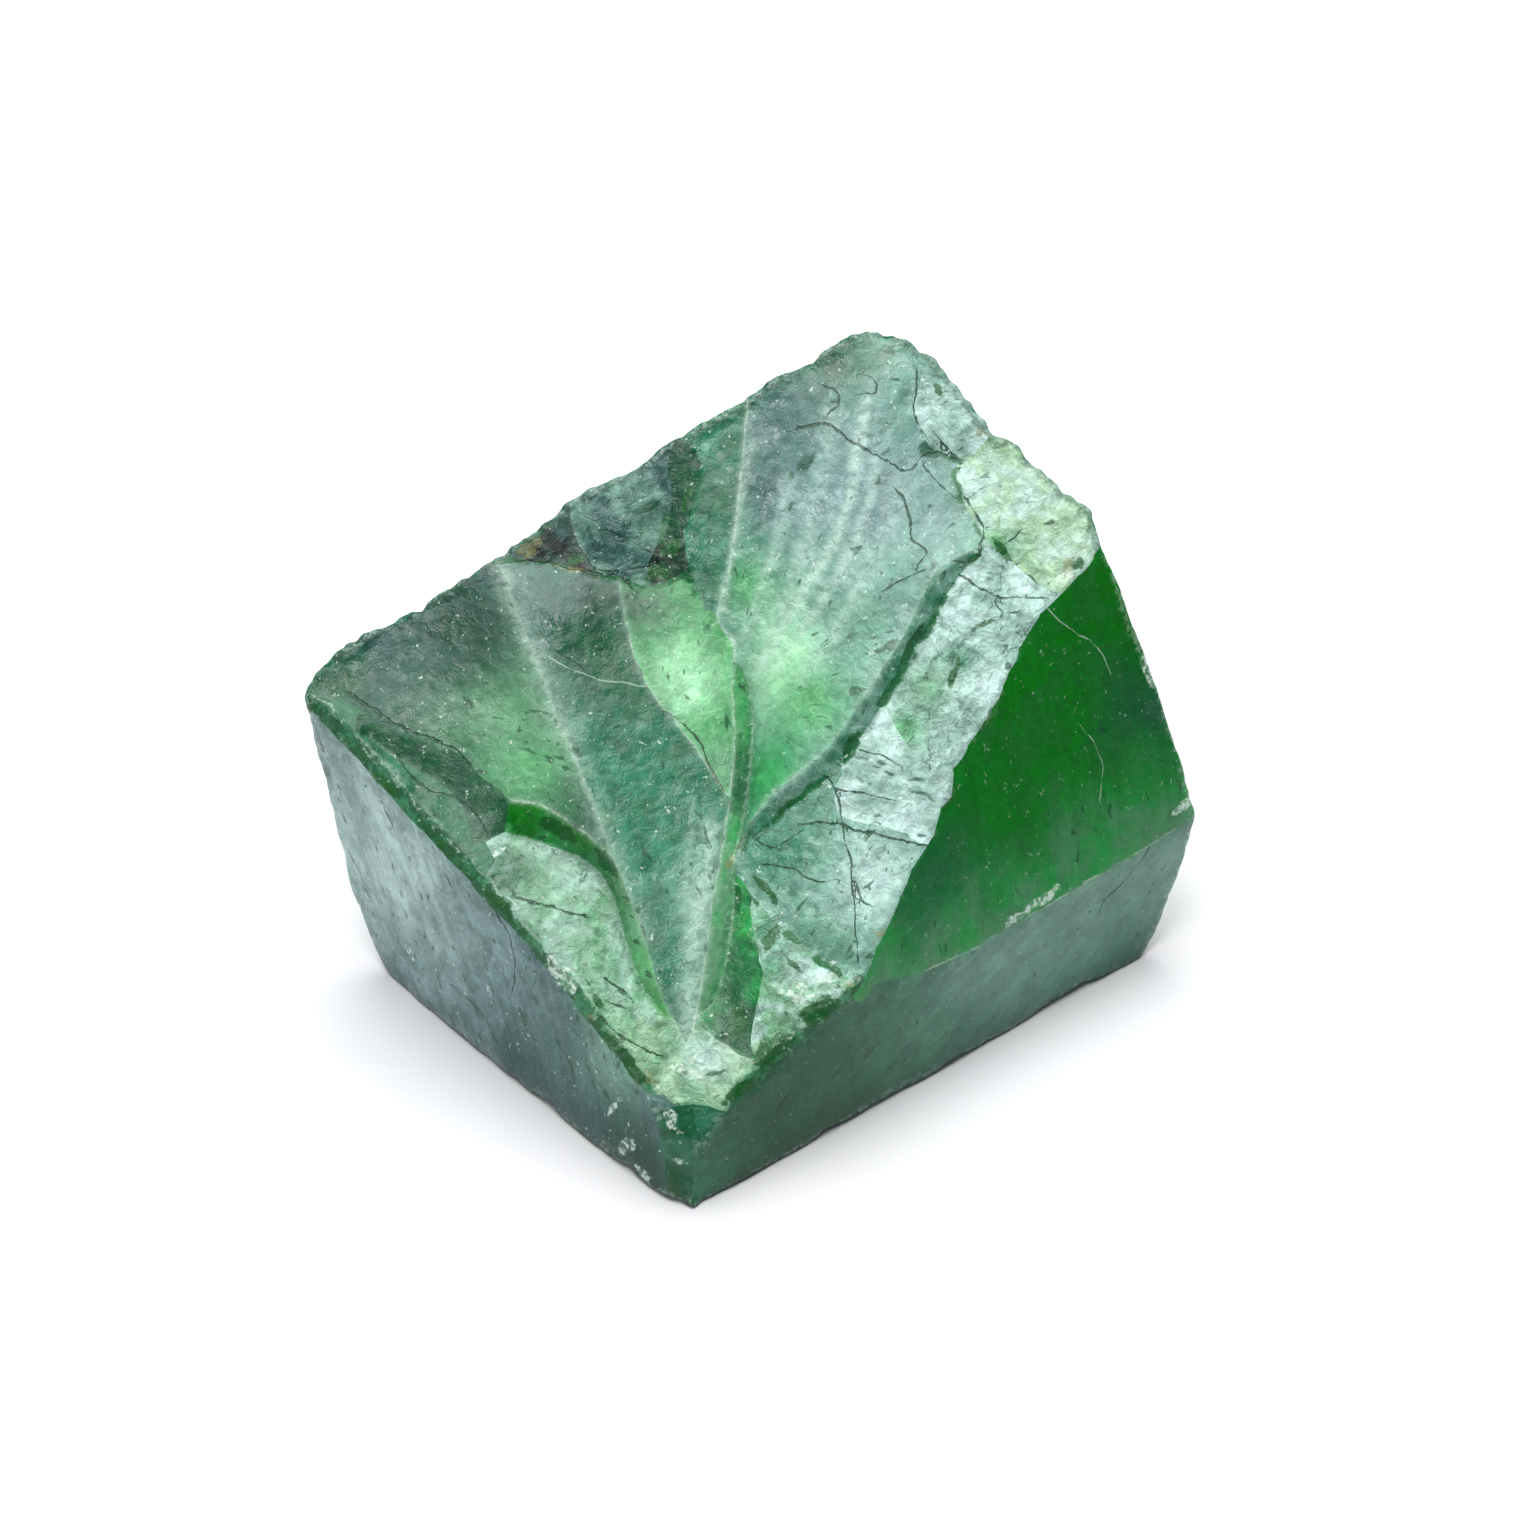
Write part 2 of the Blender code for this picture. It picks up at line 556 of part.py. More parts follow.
def build():
    for thing in list(bpy.data.objects):
        bpy.data.objects.remove(thing, do_unlink=True)
    shape = crystal_mesh()
    data = bpy.data.meshes.new(NODE)
    shape.to_mesh(data)
    shape.free()
    data.materials.append(emerald())
    stone = bpy.data.objects.new(NODE, data)
    bpy.context.scene.collection.objects.link(stone)


build()
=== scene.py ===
import math

import bpy
import numpy as np
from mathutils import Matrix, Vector, noise


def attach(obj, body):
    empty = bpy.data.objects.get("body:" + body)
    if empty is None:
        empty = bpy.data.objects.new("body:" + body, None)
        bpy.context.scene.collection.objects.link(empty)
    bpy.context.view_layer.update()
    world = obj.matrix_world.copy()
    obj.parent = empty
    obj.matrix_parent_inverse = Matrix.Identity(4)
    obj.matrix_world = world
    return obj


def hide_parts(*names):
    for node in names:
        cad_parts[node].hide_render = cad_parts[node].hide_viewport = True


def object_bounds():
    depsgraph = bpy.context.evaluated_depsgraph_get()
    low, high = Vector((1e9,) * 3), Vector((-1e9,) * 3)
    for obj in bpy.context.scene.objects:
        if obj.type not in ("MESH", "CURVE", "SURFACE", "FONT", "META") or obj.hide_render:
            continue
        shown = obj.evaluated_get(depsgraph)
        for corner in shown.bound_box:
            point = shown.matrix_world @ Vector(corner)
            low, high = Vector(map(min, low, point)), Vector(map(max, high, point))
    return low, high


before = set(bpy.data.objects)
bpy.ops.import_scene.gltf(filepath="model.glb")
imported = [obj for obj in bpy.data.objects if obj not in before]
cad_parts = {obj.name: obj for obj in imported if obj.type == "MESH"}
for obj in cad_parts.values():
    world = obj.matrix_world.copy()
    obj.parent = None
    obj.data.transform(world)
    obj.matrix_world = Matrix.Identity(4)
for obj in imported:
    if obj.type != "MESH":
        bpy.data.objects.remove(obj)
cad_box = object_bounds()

# ==== The block ===================================================================================
# A block of translucent green beryl, broken off a larger crystal and never cut or polished. It is a
# single loose piece that stands on its flat foot. Its skin is the solid's own, joined up and divided
# finer, so the creases of the solid stay where they are.
NODE = "emerald_crystal"
MM = 0.001
JOIN_GAP = 2e-6    # m, corners of loose triangles this close become one
FINE_LEVELS = 2
# An edge turned by the first angle stays soft and one turned by the second gets the full crease.
SOFT_ANGLE, SHARP_ANGLE = math.radians(14.0), math.radians(55.0)
FULL_CREASE, WORN_CREASE = 0.8, 0.3
FOOT_HEIGHT = 0.02    # mm, edges below this are the foot's, and worn
TOE_FOOT = Vector((-21.4, -16.0, 0.0))    # mm, the toe is worn round here
TOE_HEIGHT, TOE_REACH = 4.0, 5.0    # mm, how far up and how far round

# The break's own drawing: U across it, W up its slope, lift off its face, in millimetres.
BREAK_HEIGHT = 21.3
BREAK_TILT = math.radians(33.5)
BREAK_FACING = math.radians(-132.0)

OFF = np.array([math.cos(BREAK_FACING) * math.sin(BREAK_TILT),
                math.sin(BREAK_FACING) * math.sin(BREAK_TILT), math.cos(BREAK_TILT)])
ACROSS = np.array([-math.sin(BREAK_FACING), math.cos(BREAK_FACING), 0.0])
UPHILL = np.cross(OFF, ACROSS)


def drawn(points):
    """U, W and lift of points given in millimetres."""
    arm = points - np.array([0.0, 0.0, BREAK_HEIGHT])
    return np.stack([arm @ ACROSS, arm @ UPHILL, arm @ OFF], axis=1)


RIB_FORK = (-5.1, 7.2)
RIB_END = (-5.2, -23.1)
SCALE_CORNER = (-20.5, 10.4)
SCARP_START = (13.3, 13.2)
SCARP_END = (-2.9, -9.9)
STEP_START = (-20.4, -10.4)
STEP_HEEL = (-18.6, -9.0)
SHELF_END = (-18.3, -6.9)
LENS_START = (-12.1, 9.6)

CREASES = {
    "rib": [(-3.9, 23.2), (-4.2, 14.2), (-4.5, 10.6), RIB_FORK, (-3.9, 5.4), (-3.7, 1.4),
            (-3.4, -2.1), (-3.7, -8.6), (-4.2, -13.6), (-4.7, -20.7), RIB_END],
    "rib_foot": [(-3.9, 5.4), (-2.6, 2.0), (-2.2, -1.9), (-2.3, -6.4), SCARP_END],
    "rib_ditch": [SCARP_END, (-2.7, -13.8), (-3.3, -19.0), RIB_END],
    "splinter": [(-7.8, 19.9), (-6.8, 17.7), (-7.7, 12.6), (-6.3, 8.4), RIB_FORK],
    "keel": [SCALE_CORNER, (-17.9, 4.4), (-15.3, -1.3), (-13.0, -6.2), (-10.7, -11.2),
             (-8.7, -15.6), (-6.9, -20.3), RIB_END],
    "lens": [LENS_START, (-10.9, 4.8), (-9.4, 1.6), (-6.5, -1.7), (-3.5, -5.7)],
    "scales": [SCALE_CORNER, (-17.0, 10.5), (-14.2, 10.0), LENS_START, (-9.9, 9.2), (-7.6, 10.0),
               (-6.3, 8.4)],
    "scale_left": [(-15.9, 14.8), (-15.4, 13.0), (-14.2, 10.0)],
    "scale_right": [(-9.6, 19.2), (-8.8, 15.2), (-10.1, 11.1), (-9.9, 9.2)],
    "step_top": [SHELF_END, (-16.2, -7.2), (-14.1, -8.3), (-12.0, -9.8), (-10.7, -11.2)],
    "step_side": [STEP_HEEL, SHELF_END],
    "step_foot": [STEP_START, STEP_HEEL, (-15.9, -9.6), (-12.7, -10.7), (-11.0, -12.8),
                  (-9.9, -15.8), (-8.6, -19.1), RIB_END],
    "shelf": [(-32.0, -0.1), (-29.9, -0.6), (-27.7, -2.2), (-22.4, -3.6), (-20.6, -5.1),
              SHELF_END],
    "bench": [(-29.8, -1.8), (-26.9, -3.8), (-24.0, -5.3), (-21.7, -7.1), STEP_START],
    "scarp_top": [SCARP_START, (11.4, 11.9), (9.8, 10.6), (7.8, 6.0), (5.6, 1.9), (3.2, -2.1),
                  (0.9, -4.2), (-0.6, -5.6), (-2.0, -7.6), SCARP_END],
    "scarp_foot": [SCARP_START, (11.1, 10.2), (8.9, 5.6), (6.7, 1.3), (4.2, -2.8), (1.7, -5.2),
                   (-0.4, -7.3), SCARP_END],
    "silver_edge": [(6.7, 1.3), (7.9, -1.0), (9.4, -3.1), (11.5, -5.3)],
    "cross_edge": [(4.2, -2.8), (3.7, -5.7), (4.7, -7.1), (7.3, -7.5), (10.0, -8.7)],
    "leaf_edge": [SCARP_END, (-1.7, -12.3), (0.2, -14.3), (2.0, -15.9), (6.2, -18.7)],
    "leaf_tail": [(-1.7, -12.3), (-1.3, -15.2), (-0.4, -18.0), (-1.0, -21.9), (-1.0, -24.1)],
    "toe_patch": [(-6.6, -25.6), (-6.3, -24.4), RIB_END, (-4.2, -22.1), (-2.5, -23.2),
                  (-1.0, -24.1)],
    "crown_edge": [(8.2, 27.5), (8.1, 25.1), (7.7, 22.8), (9.4, 20.0), (11.2, 19.7),
                   (13.6, 21.2)],
    "corner_edge": [(11.2, 19.7), (10.9, 17.8), (12.4, 14.6), SCARP_START, (14.9, 12.1),
                    (18.1, 9.5)],
}
RIM = [(-7.8, -26.8), (-11.3, -22.7), (-15.4, -18.1), (-18.7, -14.7), (-21.9, -11.6), (-26.0, -7.6),
       (-30.6, -3.0), (-33.2, -0.4), (-33.0, 1.4), (-31.5, 3.0), (-28.5, 5.5), (-23.7, 8.5),
       (-20.6, 11.1), (-17.1, 13.8), (-15.9, 15.1), (-11.1, 18.2), (-9.6, 19.5), (-3.9, 23.5),
       (-1.1, 25.6), (3.0, 28.4), (4.7, 28.9), (6.7, 28.5), (8.2, 27.5), (11.0, 24.7), (13.6, 21.2),
       (15.0, 20.8), (18.3, 17.6), (20.4, 16.1), (21.2, 13.4), (20.1, 11.5), (16.8, 7.6),
       (14.8, 2.6), (12.4, -2.2), (10.3, -8.1), (8.3, -12.9), (6.2, -18.7), (4.5, -20.6),
       (2.2, -22.9), (0.4, -24.6), (-1.7, -26.8), (-4.4, -27.5), (-7.8, -26.8)]
# The two front rims, whose edge has flaked off in a band this wide, and the rims at the back,
# darkened in a band this wide by painted shade where the skin curves away from the light.
FLAKE_WIDTH = 0.95
LEFT_RIM, BACK_RIM, FRONT_RIM = RIM[:8], RIM[7:29], RIM[35:40]
BACK_WIDTH = 0.8
# Corners of the block off the break: (X, Z) under the cleavage, (Z, Y) and (Z, X) at the toe.
CLEAVAGE_FOOT = [(-4.0, 10.3), (-0.5, 9.5), (6.2, 9.2), (15.2, 9.7), (19.9, 9.9), (24.5, 10.5)]
TOE_LEFT = [(0.0, -15.1), (2.8, -14.0), (6.0, -13.2), (8.4, -12.6)]
TOE_RIGHT = [(0.0, -20.9), (2.0, -20.2), (4.9, -19.3), (7.4, -18.2)]

# ---- Patches -------------------------------------------------------------------------------------
# The stone's own tints, as seen, 0 to 255.
TINTS = {
    "ink": (10, 35, 20), "bottle": (4, 108, 12), "pine": (8, 62, 42), "moss": (20, 84, 50),
    "fern": (44, 142, 72), "jade": (52, 120, 92), "meadow": (90, 162, 106), "mint": (166, 226, 178),
    "lichen": (148, 184, 148), "sage": (98, 150, 112), "mist": (112, 156, 138),
    "frost": (176, 206, 198), "slate": (118, 148, 150), "ash": (44, 84, 78), "soot": (30, 30, 26),
}
# Creases part the break into patches, and each wall of the block is one patch more. A patch has a
# place on it (U and W, or X, Y and Z), its tint and the tint it clouds over to, the relief of its
# skin in mm, its grain direction in degrees, roughness, dark flecks, streaks and cloudiness.
# The grey and pale tints of the fan, the crown, the silver patches and the left wall are partly
# painted sheen, the light these skins mirror.
PATCHES = {
    "upper_left": ((-24.0, 3.0), "moss", "ash", 0.05, -20.0, 0.32, 0.9, 0.4, 0.5),
    "shelf": ((-23.5, -4.4), "moss", "pine", 0.07, -35.0, 0.32, 0.7, 0.3, 0.6),
    "bench": ((-24.5, -7.0), "moss", "jade", 0.07, -35.0, 0.34, 0.7, 0.3, 0.5),
    "blade": ((-11.0, -3.0), "jade", "moss", 0.05, 116.0, 0.28, 0.9, 0.5, 0.6),
    "lens": ((-7.0, 4.0), "fern", "meadow", 0.06, 108.0, 0.30, 0.7, 0.5, 0.7),
    "scale_brown": ((-17.5, 12.0), "soot", "ash", 0.18, 30.0, 0.40, 0.8, 0.2, 0.8),
    "scale_grey": ((-12.0, 13.0), "ash", "mist", 0.14, 30.0, 0.34, 0.9, 0.3, 0.7),
    "scale_green": ((-8.2, 13.0), "pine", "moss", 0.16, 80.0, 0.32, 0.9, 0.3, 0.8),
    "splinter": ((-5.6, 14.0), "jade", "moss", 0.05, 86.0, 0.28, 0.8, 0.8, 0.6),
    "fan": ((3.0, 8.0), "mist", "jade", 0.05, 0.0, 0.26, 0.9, 0.7, 0.5),
    "crown": ((10.5, 23.0), "frost", "mist", 0.14, 20.0, 0.28, 0.8, 0.2, 0.7),
    "corner": ((15.5, 16.5), "lichen", "frost", 0.12, 20.0, 0.28, 0.5, 0.2, 0.8),
    "silver_upper": ((12.5, 6.0), "frost", "mist", 0.18, 60.0, 0.24, 0.5, 0.4, 0.6),
    "silver_lower": ((7.5, -4.6), "frost", "mist", 0.11, -12.0, 0.24, 0.9, 0.6, 0.7),
    "kite": ((2.0, -9.0), "mist", "jade", 0.10, 60.0, 0.26, 0.9, 0.5, 0.5),
    "leaf": ((2.5, -18.0), "sage", "frost", 0.24, -30.0, 0.34, 0.7, 0.3, 1.0),
    "notch": ((-1.9, -18.5), "fern", "moss", 0.12, 85.0, 0.30, 0.7, 0.4, 0.8),
    "ditch": ((-3.45, -14.0), "sage", "fern", 0.03, 85.0, 0.28, 0.5, 0.5, 0.9),
    "rib_side": ((-3.05, 0.0), "fern", "meadow", 0.03, 85.0, 0.28, 0.5, 0.5, 0.9),
    "scarp": ((6.15, 1.6), "mist", "jade", 0.16, 60.0, 0.32, 0.8, 0.3, 1.0),
    "step": ((-14.0, -9.2), "bottle", "fern", 0.05, -30.0, 0.28, 0.5, 0.3, 0.8),
    "apron": ((-14.0, -15.0), "sage", "frost", 0.12, -35.0, 0.32, 0.6, 0.4, 0.5),
    "toe_patch": ((-4.0, -24.4), "sage", "lichen", 0.16, 30.0, 0.34, 0.5, 0.2, 0.8),
    "cleavage": ((14.0, -11.2, 18.0), "bottle", "moss", 0.0, 75.0, 0.20, 0.35, 0.3, 0.25),
    "left_wall": ((-23.0, 2.0, 6.0), "slate", "ash", 0.035, -118.0, 0.32, 1.0, 0.8, 0.6),
    "right_wall": ((2.0, -16.5, 4.0), "jade", "pine", 0.015, 25.0, 0.30, 0.3, 0.5, 0.4),
    "toe": ((-19.7, -15.3, 4.0), "moss", "jade", 0.03, 60.0, 0.30, 0.5, 0.4, 0.8),
    "back_left": ((0.0, 15.7, 12.0), "jade", "ash", 0.17, 35.0, 0.36, 0.8, 0.4, 0.8),
    "back_right": ((20.2, -1.8, 12.4), "moss", "jade", 0.17, -35.0, 0.34, 0.7, 0.4, 0.8),
    "foot": ((0.0, 0.0, 0.0), "ash", "ash", 0.0, 0.0, 0.45, 0.6, 0.3, 0.4),
}
PATCH_NAMES = list(PATCHES)
# The way each wall faces, and the two of X, Y and Z (as 0, 1 and 2) that it is drawn in.
WALLS = {
    "cleavage": ((-0.04, -0.85, 0.52), (0, 2)),
    "left_wall": ((-0.99, -0.11, 0.12), (1, 2)),
    "right_wall": ((0.01, -0.99, 0.11), (0, 2)),
    "toe": ((-0.52, -0.79, 0.32), (0, 2)),
    "back_left": ((-0.08, 0.99, -0.12), (0, 2)),
    "back_right": ((0.88, 0.45, -0.15), (1, 2)),
    "foot": ((0.0, 0.0, -1.0), (0, 1)),
}

# Pools of painted glow where light passes through the stone, of painted sheen, and of darker tone
# that is partly painted shade and partly the stone's own: place, reach in mm and tint.
PAINTED_LIGHT_AND_TONE_POOLS = {
    "upper_left": [((-28.5, 4.5), 6.0, "ash"), ((-19.0, -1.5), 5.0, "sage"),
                   ((-17.0, -4.8), 2.6, "meadow"), ((-31.0, 0.8), 2.5, "moss"),
                   ((-22.5, 6.0), 4.0, "pine")],
    "blade": [((-17.0, 7.0), 6.0, "ash"), ((-13.0, 4.0), 3.5, "moss"),
              ((-13.4, 7.8), 2.0, "pine"), ((-5.2, -13.0), 2.6, "mist")],
    "lens": [((-9.5, 7.0), 2.8, "moss"), ((-11.4, 7.6), 1.6, "pine"), ((-8.6, 0.6), 1.8, "sage"),
             ((-6.5, 2.5), 2.5, "mint"), ((-4.5, -3.5), 2.0, "sage")],
    "scale_green": [((-9.5, 10.5), 2.0, "ink")],
    # On the fan the slate pool is painted sheen and the mint and meadow pools are painted glow.
    "fan": [((-1.0, 22.0), 4.5, "ash"), ((2.6, 26.0), 2.6, "moss"), ((-3.0, 16.5), 3.6, "ash"),
            ((-2.6, 9.5), 2.6, "fern"), ((5.0, 16.5), 6.0, "slate"), ((-0.8, 3.4), 2.6, "mint"),
            ((0.2, 5.2), 1.7, "mint"), ((1.5, 1.0), 3.0, "meadow"), ((-1.5, -4.0), 3.0, "fern")],
    "crown": [((7.5, 26.5), 2.5, "jade")],
    "corner": [((14.0, 12.5), 1.6, "meadow")],
    "silver_upper": [((8.2, -0.6), 1.3, "fern"), ((9.6, 2.4), 1.8, "sage"),
                     ((11.8, 4.6), 1.2, "jade")],
    "kite": [((7.0, -11.0), 3.0, "frost"), ((0.2, -9.2), 2.5, "jade")],
    "notch": [((-2.2, -21.4), 2.0, "pine")],
    "toe_patch": [((-3.6, -24.0), 1.6, "frost")],
    "leaf": [((0.2, -16.0), 2.0, "jade")],
    "apron": [((-18.0, -12.0), 2.0, "moss")],
    "step": [((-8.5, -17.5), 3.0, "meadow")],
    "rib_side": [((-2.8, -4.5), 3.0, "pine")],
    "cleavage": [((2.0, -15.0, 12.0), 6.0, "moss"), ((-1.0, -16.0, 10.5), 3.0, "pine"),
                 ((23.5, -12.0, 18.0), 4.0, "moss")],
    # The frost pool high on the left wall is a painted reflection of the floor.
    "left_wall": [((-24.0, 14.0, 12.0), 7.0, "frost"), ((-22.0, -9.0, 3.0), 7.0, "ash"),
                  ((-22.5, -2.0, 2.0), 5.0, "ash"), ((-22.0, -9.0, 9.0), 4.0, "mist"),
                  ((-22.0, -12.0, 2.0), 3.4, "pine")],
    # The mist pools on the right wall are painted sheen.
    "right_wall": [((-12.0, -16.2, 3.0), 8.0, "moss"), ((6.0, -16.4, 7.0), 6.0, "mist"),
                   ((21.0, -16.4, 8.0), 4.0, "mist"), ((14.0, -16.4, 8.0), 5.0, "mist")],
    "back_left": [((-12.0, 18.0, 8.0), 7.0, "pine"), ((6.0, 16.0, 24.0), 6.0, "mist"),
                  ((12.0, 12.0, 6.0), 5.0, "sage")],
    "back_right": [((20.0, 4.0, 8.0), 6.0, "pine"), ((21.0, -8.0, 18.0), 5.0, "fern")],
}

# Hairline cracks on the break and on each wall: half width in mm, then the way each runs.
CRACKS = {
    "break": [
        (0.07, [(-0.5, 21.1), (0.6, 21.3), (1.7, 21.4), (2.7, 20.9), (4.0, 19.9), (5.6, 19.1),
                (7.0, 18.4), (8.0, 18.6), (8.4, 19.5), (9.4, 20.0), (11.1, 19.6)]),
        (0.06, [(7.8, 25.7), (7.9, 24.0), (7.8, 22.5), (8.4, 21.5), (9.0, 20.5), (10.1, 19.8)]),
        (0.06, [(9.1, 21.5), (10.1, 20.4), (10.8, 19.9)]),
        (0.06, [(6.7, 16.9), (7.5, 15.9), (7.9, 14.6), (8.0, 13.1), (8.8, 12.6), (9.1, 11.9),
                (8.6, 11.2)]),
        (0.05, [(8.7, 18.9), (9.8, 17.4), (10.9, 16.6)]),
        (0.07, [(10.8, 11.5), (11.8, 11.7), (12.7, 12.1), (12.9, 13.0), (13.0, 14.2),
                (12.4, 15.3), (11.8, 16.4)]),
        (0.06, [(11.6, 10.8), (12.9, 9.9), (14.5, 9.2), (15.7, 9.3), (17.4, 9.4)]),
        (0.07, [(13.8, 9.4), (14.6, 8.2), (15.4, 8.2)]),
        (0.05, [(6.4, 9.3), (7.7, 10.2), (9.1, 10.8)]),
        (0.04, [(14.2, 13.1), (15.2, 13.7), (15.5, 14.1)]),
        (0.05, [(4.0, 25.2), (4.8, 25.0), (5.1, 24.0), (3.9, 23.7)]),
        (0.06, [(1.2, 24.4), (2.2, 24.0), (2.4, 22.9), (1.8, 22.1)]),
        (0.05, [(2.8, -4.0), (3.5, -4.6), (4.5, -7.8), (5.2, -11.3), (5.9, -16.8)]),
        (0.07, [(1.5, -7.5), (3.5, -7.3), (5.7, -7.9), (7.6, -8.3), (10.0, -8.7)]),
        (0.05, [(1.5, -8.0), (0.8, -8.5), (-0.5, -9.1), (-1.6, -8.5)]),
        (0.05, [(-0.8, -10.3), (0.9, -10.5), (2.7, -11.4), (4.4, -11.3)]),
        (0.05, [(3.8, -5.0), (5.4, -5.2), (7.5, -5.6)]),
        (0.04, [(5.3, -2.1), (7.0, -2.6), (8.0, -3.2)]),
        (0.04, [(5.4, -11.3), (5.9, -12.7), (6.4, -13.0)]),
        (0.09, [(-30.0, 0.3), (-28.1, -0.9), (-26.2, -2.0), (-24.2, -2.6), (-22.4, -3.4),
                (-21.3, -4.4)]),
        (0.05, [(-26.5, -3.6), (-25.3, -5.4), (-23.8, -6.4), (-21.8, -6.9), (-20.3, -8.3),
                (-19.8, -9.2)]),
        (0.09, [(-17.4, -13.8), (-16.3, -14.1), (-15.0, -14.2), (-13.6, -14.6), (-12.6, -14.7)]),
        (0.06, [(-10.9, -19.1), (-9.6, -19.7), (-9.1, -20.3)]),
        (0.06, [(-10.6, -20.6), (-9.6, -21.0)]),
        (0.07, [(-11.0, -21.7), (-9.6, -22.9), (-7.6, -23.9), (-6.8, -24.0)]),
        (0.05, [(-16.0, 3.8), (-14.6, 3.1), (-14.0, 2.7)]),
        (0.05, [(-8.2, 0.1), (-6.8, -0.7), (-5.7, -2.0), (-4.6, -4.1), (-4.0, -5.1)]),
        (0.08, [(-20.4, 10.2), (-18.3, 10.5), (-16.6, 10.4), (-14.8, 9.9), (-13.4, 9.7),
                (-12.4, 9.9), (-10.9, 8.9)]),
        (0.06, [(-13.2, 13.0), (-11.8, 12.4), (-10.1, 11.8)]),
        (0.06, [(-15.4, 12.6), (-14.5, 10.9), (-13.4, 10.2), (-11.4, 10.3), (-9.3, 11.1)]),
    ],
    "left_wall": [
        (0.05, [(3.4, 14.0), (1.8, 12.0), (1.0, 9.6), (1.2, 7.6)]),
        (0.05, [(7.2, 4.4), (4.6, 4.2), (2.0, 2.4)]),
        (0.05, [(18.4, 9.4), (17.0, 7.4), (16.6, 6.2)]),
    ],
    "right_wall": [
        (0.04, [(20.0, 9.9), (19.0, 9.0), (17.2, 7.9), (15.8, 7.3), (15.3, 6.5)]),
        (0.04, [(-13.4, 4.2), (-12.4, 5.0)]),
    ],
    "back_left": [
        (0.08, [(-19.0, 4.6), (-14.2, 8.4), (-9.0, 12.6), (-4.4, 19.0), (-1.8, 28.0)]),
        (0.06, [(-9.0, 12.6), (-3.0, 11.2), (4.4, 13.0), (9.6, 11.4)]),
    ],
    "back_right": [
        (0.07, [(-12.6, 7.0), (-6.0, 11.4), (0.4, 12.2), (6.8, 18.6)]),
    ],
}
PALE_CRACKS = {
    "cleavage": [
        (0.07, CLEAVAGE_FOOT),
        (0.04, [(17.9, 26.0), (19.0, 24.4), (20.2, 23.4), (20.8, 22.4), (21.0, 21.2)]),
        (0.03, [(17.4, 18.8), (18.0, 17.3), (18.1, 16.0), (17.1, 14.0)]),
    ],
    "break": [
        (0.05, [(-16.7, 3.4), (-14.9, 2.6), (-12.8, 2.0), (-11.1, 1.9), (-9.4, 1.9)]),
    ],
}
# Soft pale streaks in the stone: half width in mm, strength, then the way each runs.
STREAKS = [
    (0.45, 0.75, [(-2.0, 3.8), (-1.0, 5.7), (0.2, 8.2), (1.3, 10.3), (2.3, 12.2), (3.2, 14.5),
                  (3.9, 18.7), (4.4, 23.1)]),
    (0.40, 0.50, [(-0.9, 3.8), (0.7, 6.3), (2.3, 9.0), (3.6, 11.6), (4.5, 13.8), (5.4, 18.8)]),
    (0.40, 0.40, [(0.9, 2.9), (2.8, 5.3), (4.0, 8.6), (5.0, 10.8), (5.2, 12.7)]),
    (0.40, 0.35, [(-3.1, 5.7), (-2.4, 8.6), (-1.7, 11.5), (-1.0, 14.5), (-0.6, 17.4)]),
    (0.70, 0.35, [(-1.4, 6.0), (0.0, 10.0), (1.0, 14.0), (1.6, 18.0), (1.9, 22.0)]),
    (0.90, 0.22, [(1.6, 4.0), (4.4, 8.6), (6.4, 13.0), (7.2, 17.0)]),
    (0.30, 0.40, [(-4.8, 7.8), (-4.6, 10.6), (-4.1, 14.2), (-3.8, 17.2), (-3.4, 20.1)]),
    (0.75, 0.60, [(-4.6, -8.0), (-4.8, -11.0), (-5.0, -14.0), (-5.2, -19.0), (-5.3, -22.0)]),
    (0.30, 0.30, [(-6.0, -6.0), (-5.9, -12.0), (-5.6, -18.0)]),
    (1.00, 0.30, [(-20.3, 10.0), (-17.9, 4.4), (-15.3, -1.3), (-13.0, -6.2), (-10.7, -11.2),
                  (-8.7, -15.6)]),
]
# Creases with a pale edge, partly worn and partly a painted highlight where the edge catches the
# light, and how strong it is.
WORN_AND_LIT_CREASES = {"rib": 0.8, "keel": 0.55, "lens": 0.7, "step_top": 0.85, "scarp_top": 0.55,
                "silver_edge": 0.3, "scale_left": 0.4, "toe_patch": 0.5}
# Creases with dark gaps along them, where the two skins have parted.
DARK_CREASES = {"scarp_foot": 1.0, "leaf_edge": 1.0, "scales": 0.7, "scale_right": 0.7,
                "crown_edge": 0.5, "corner_edge": 0.7, "shelf": 0.5, "splinter": 0.4,
                "rib_foot": 0.3, "leaf_tail": 0.4}
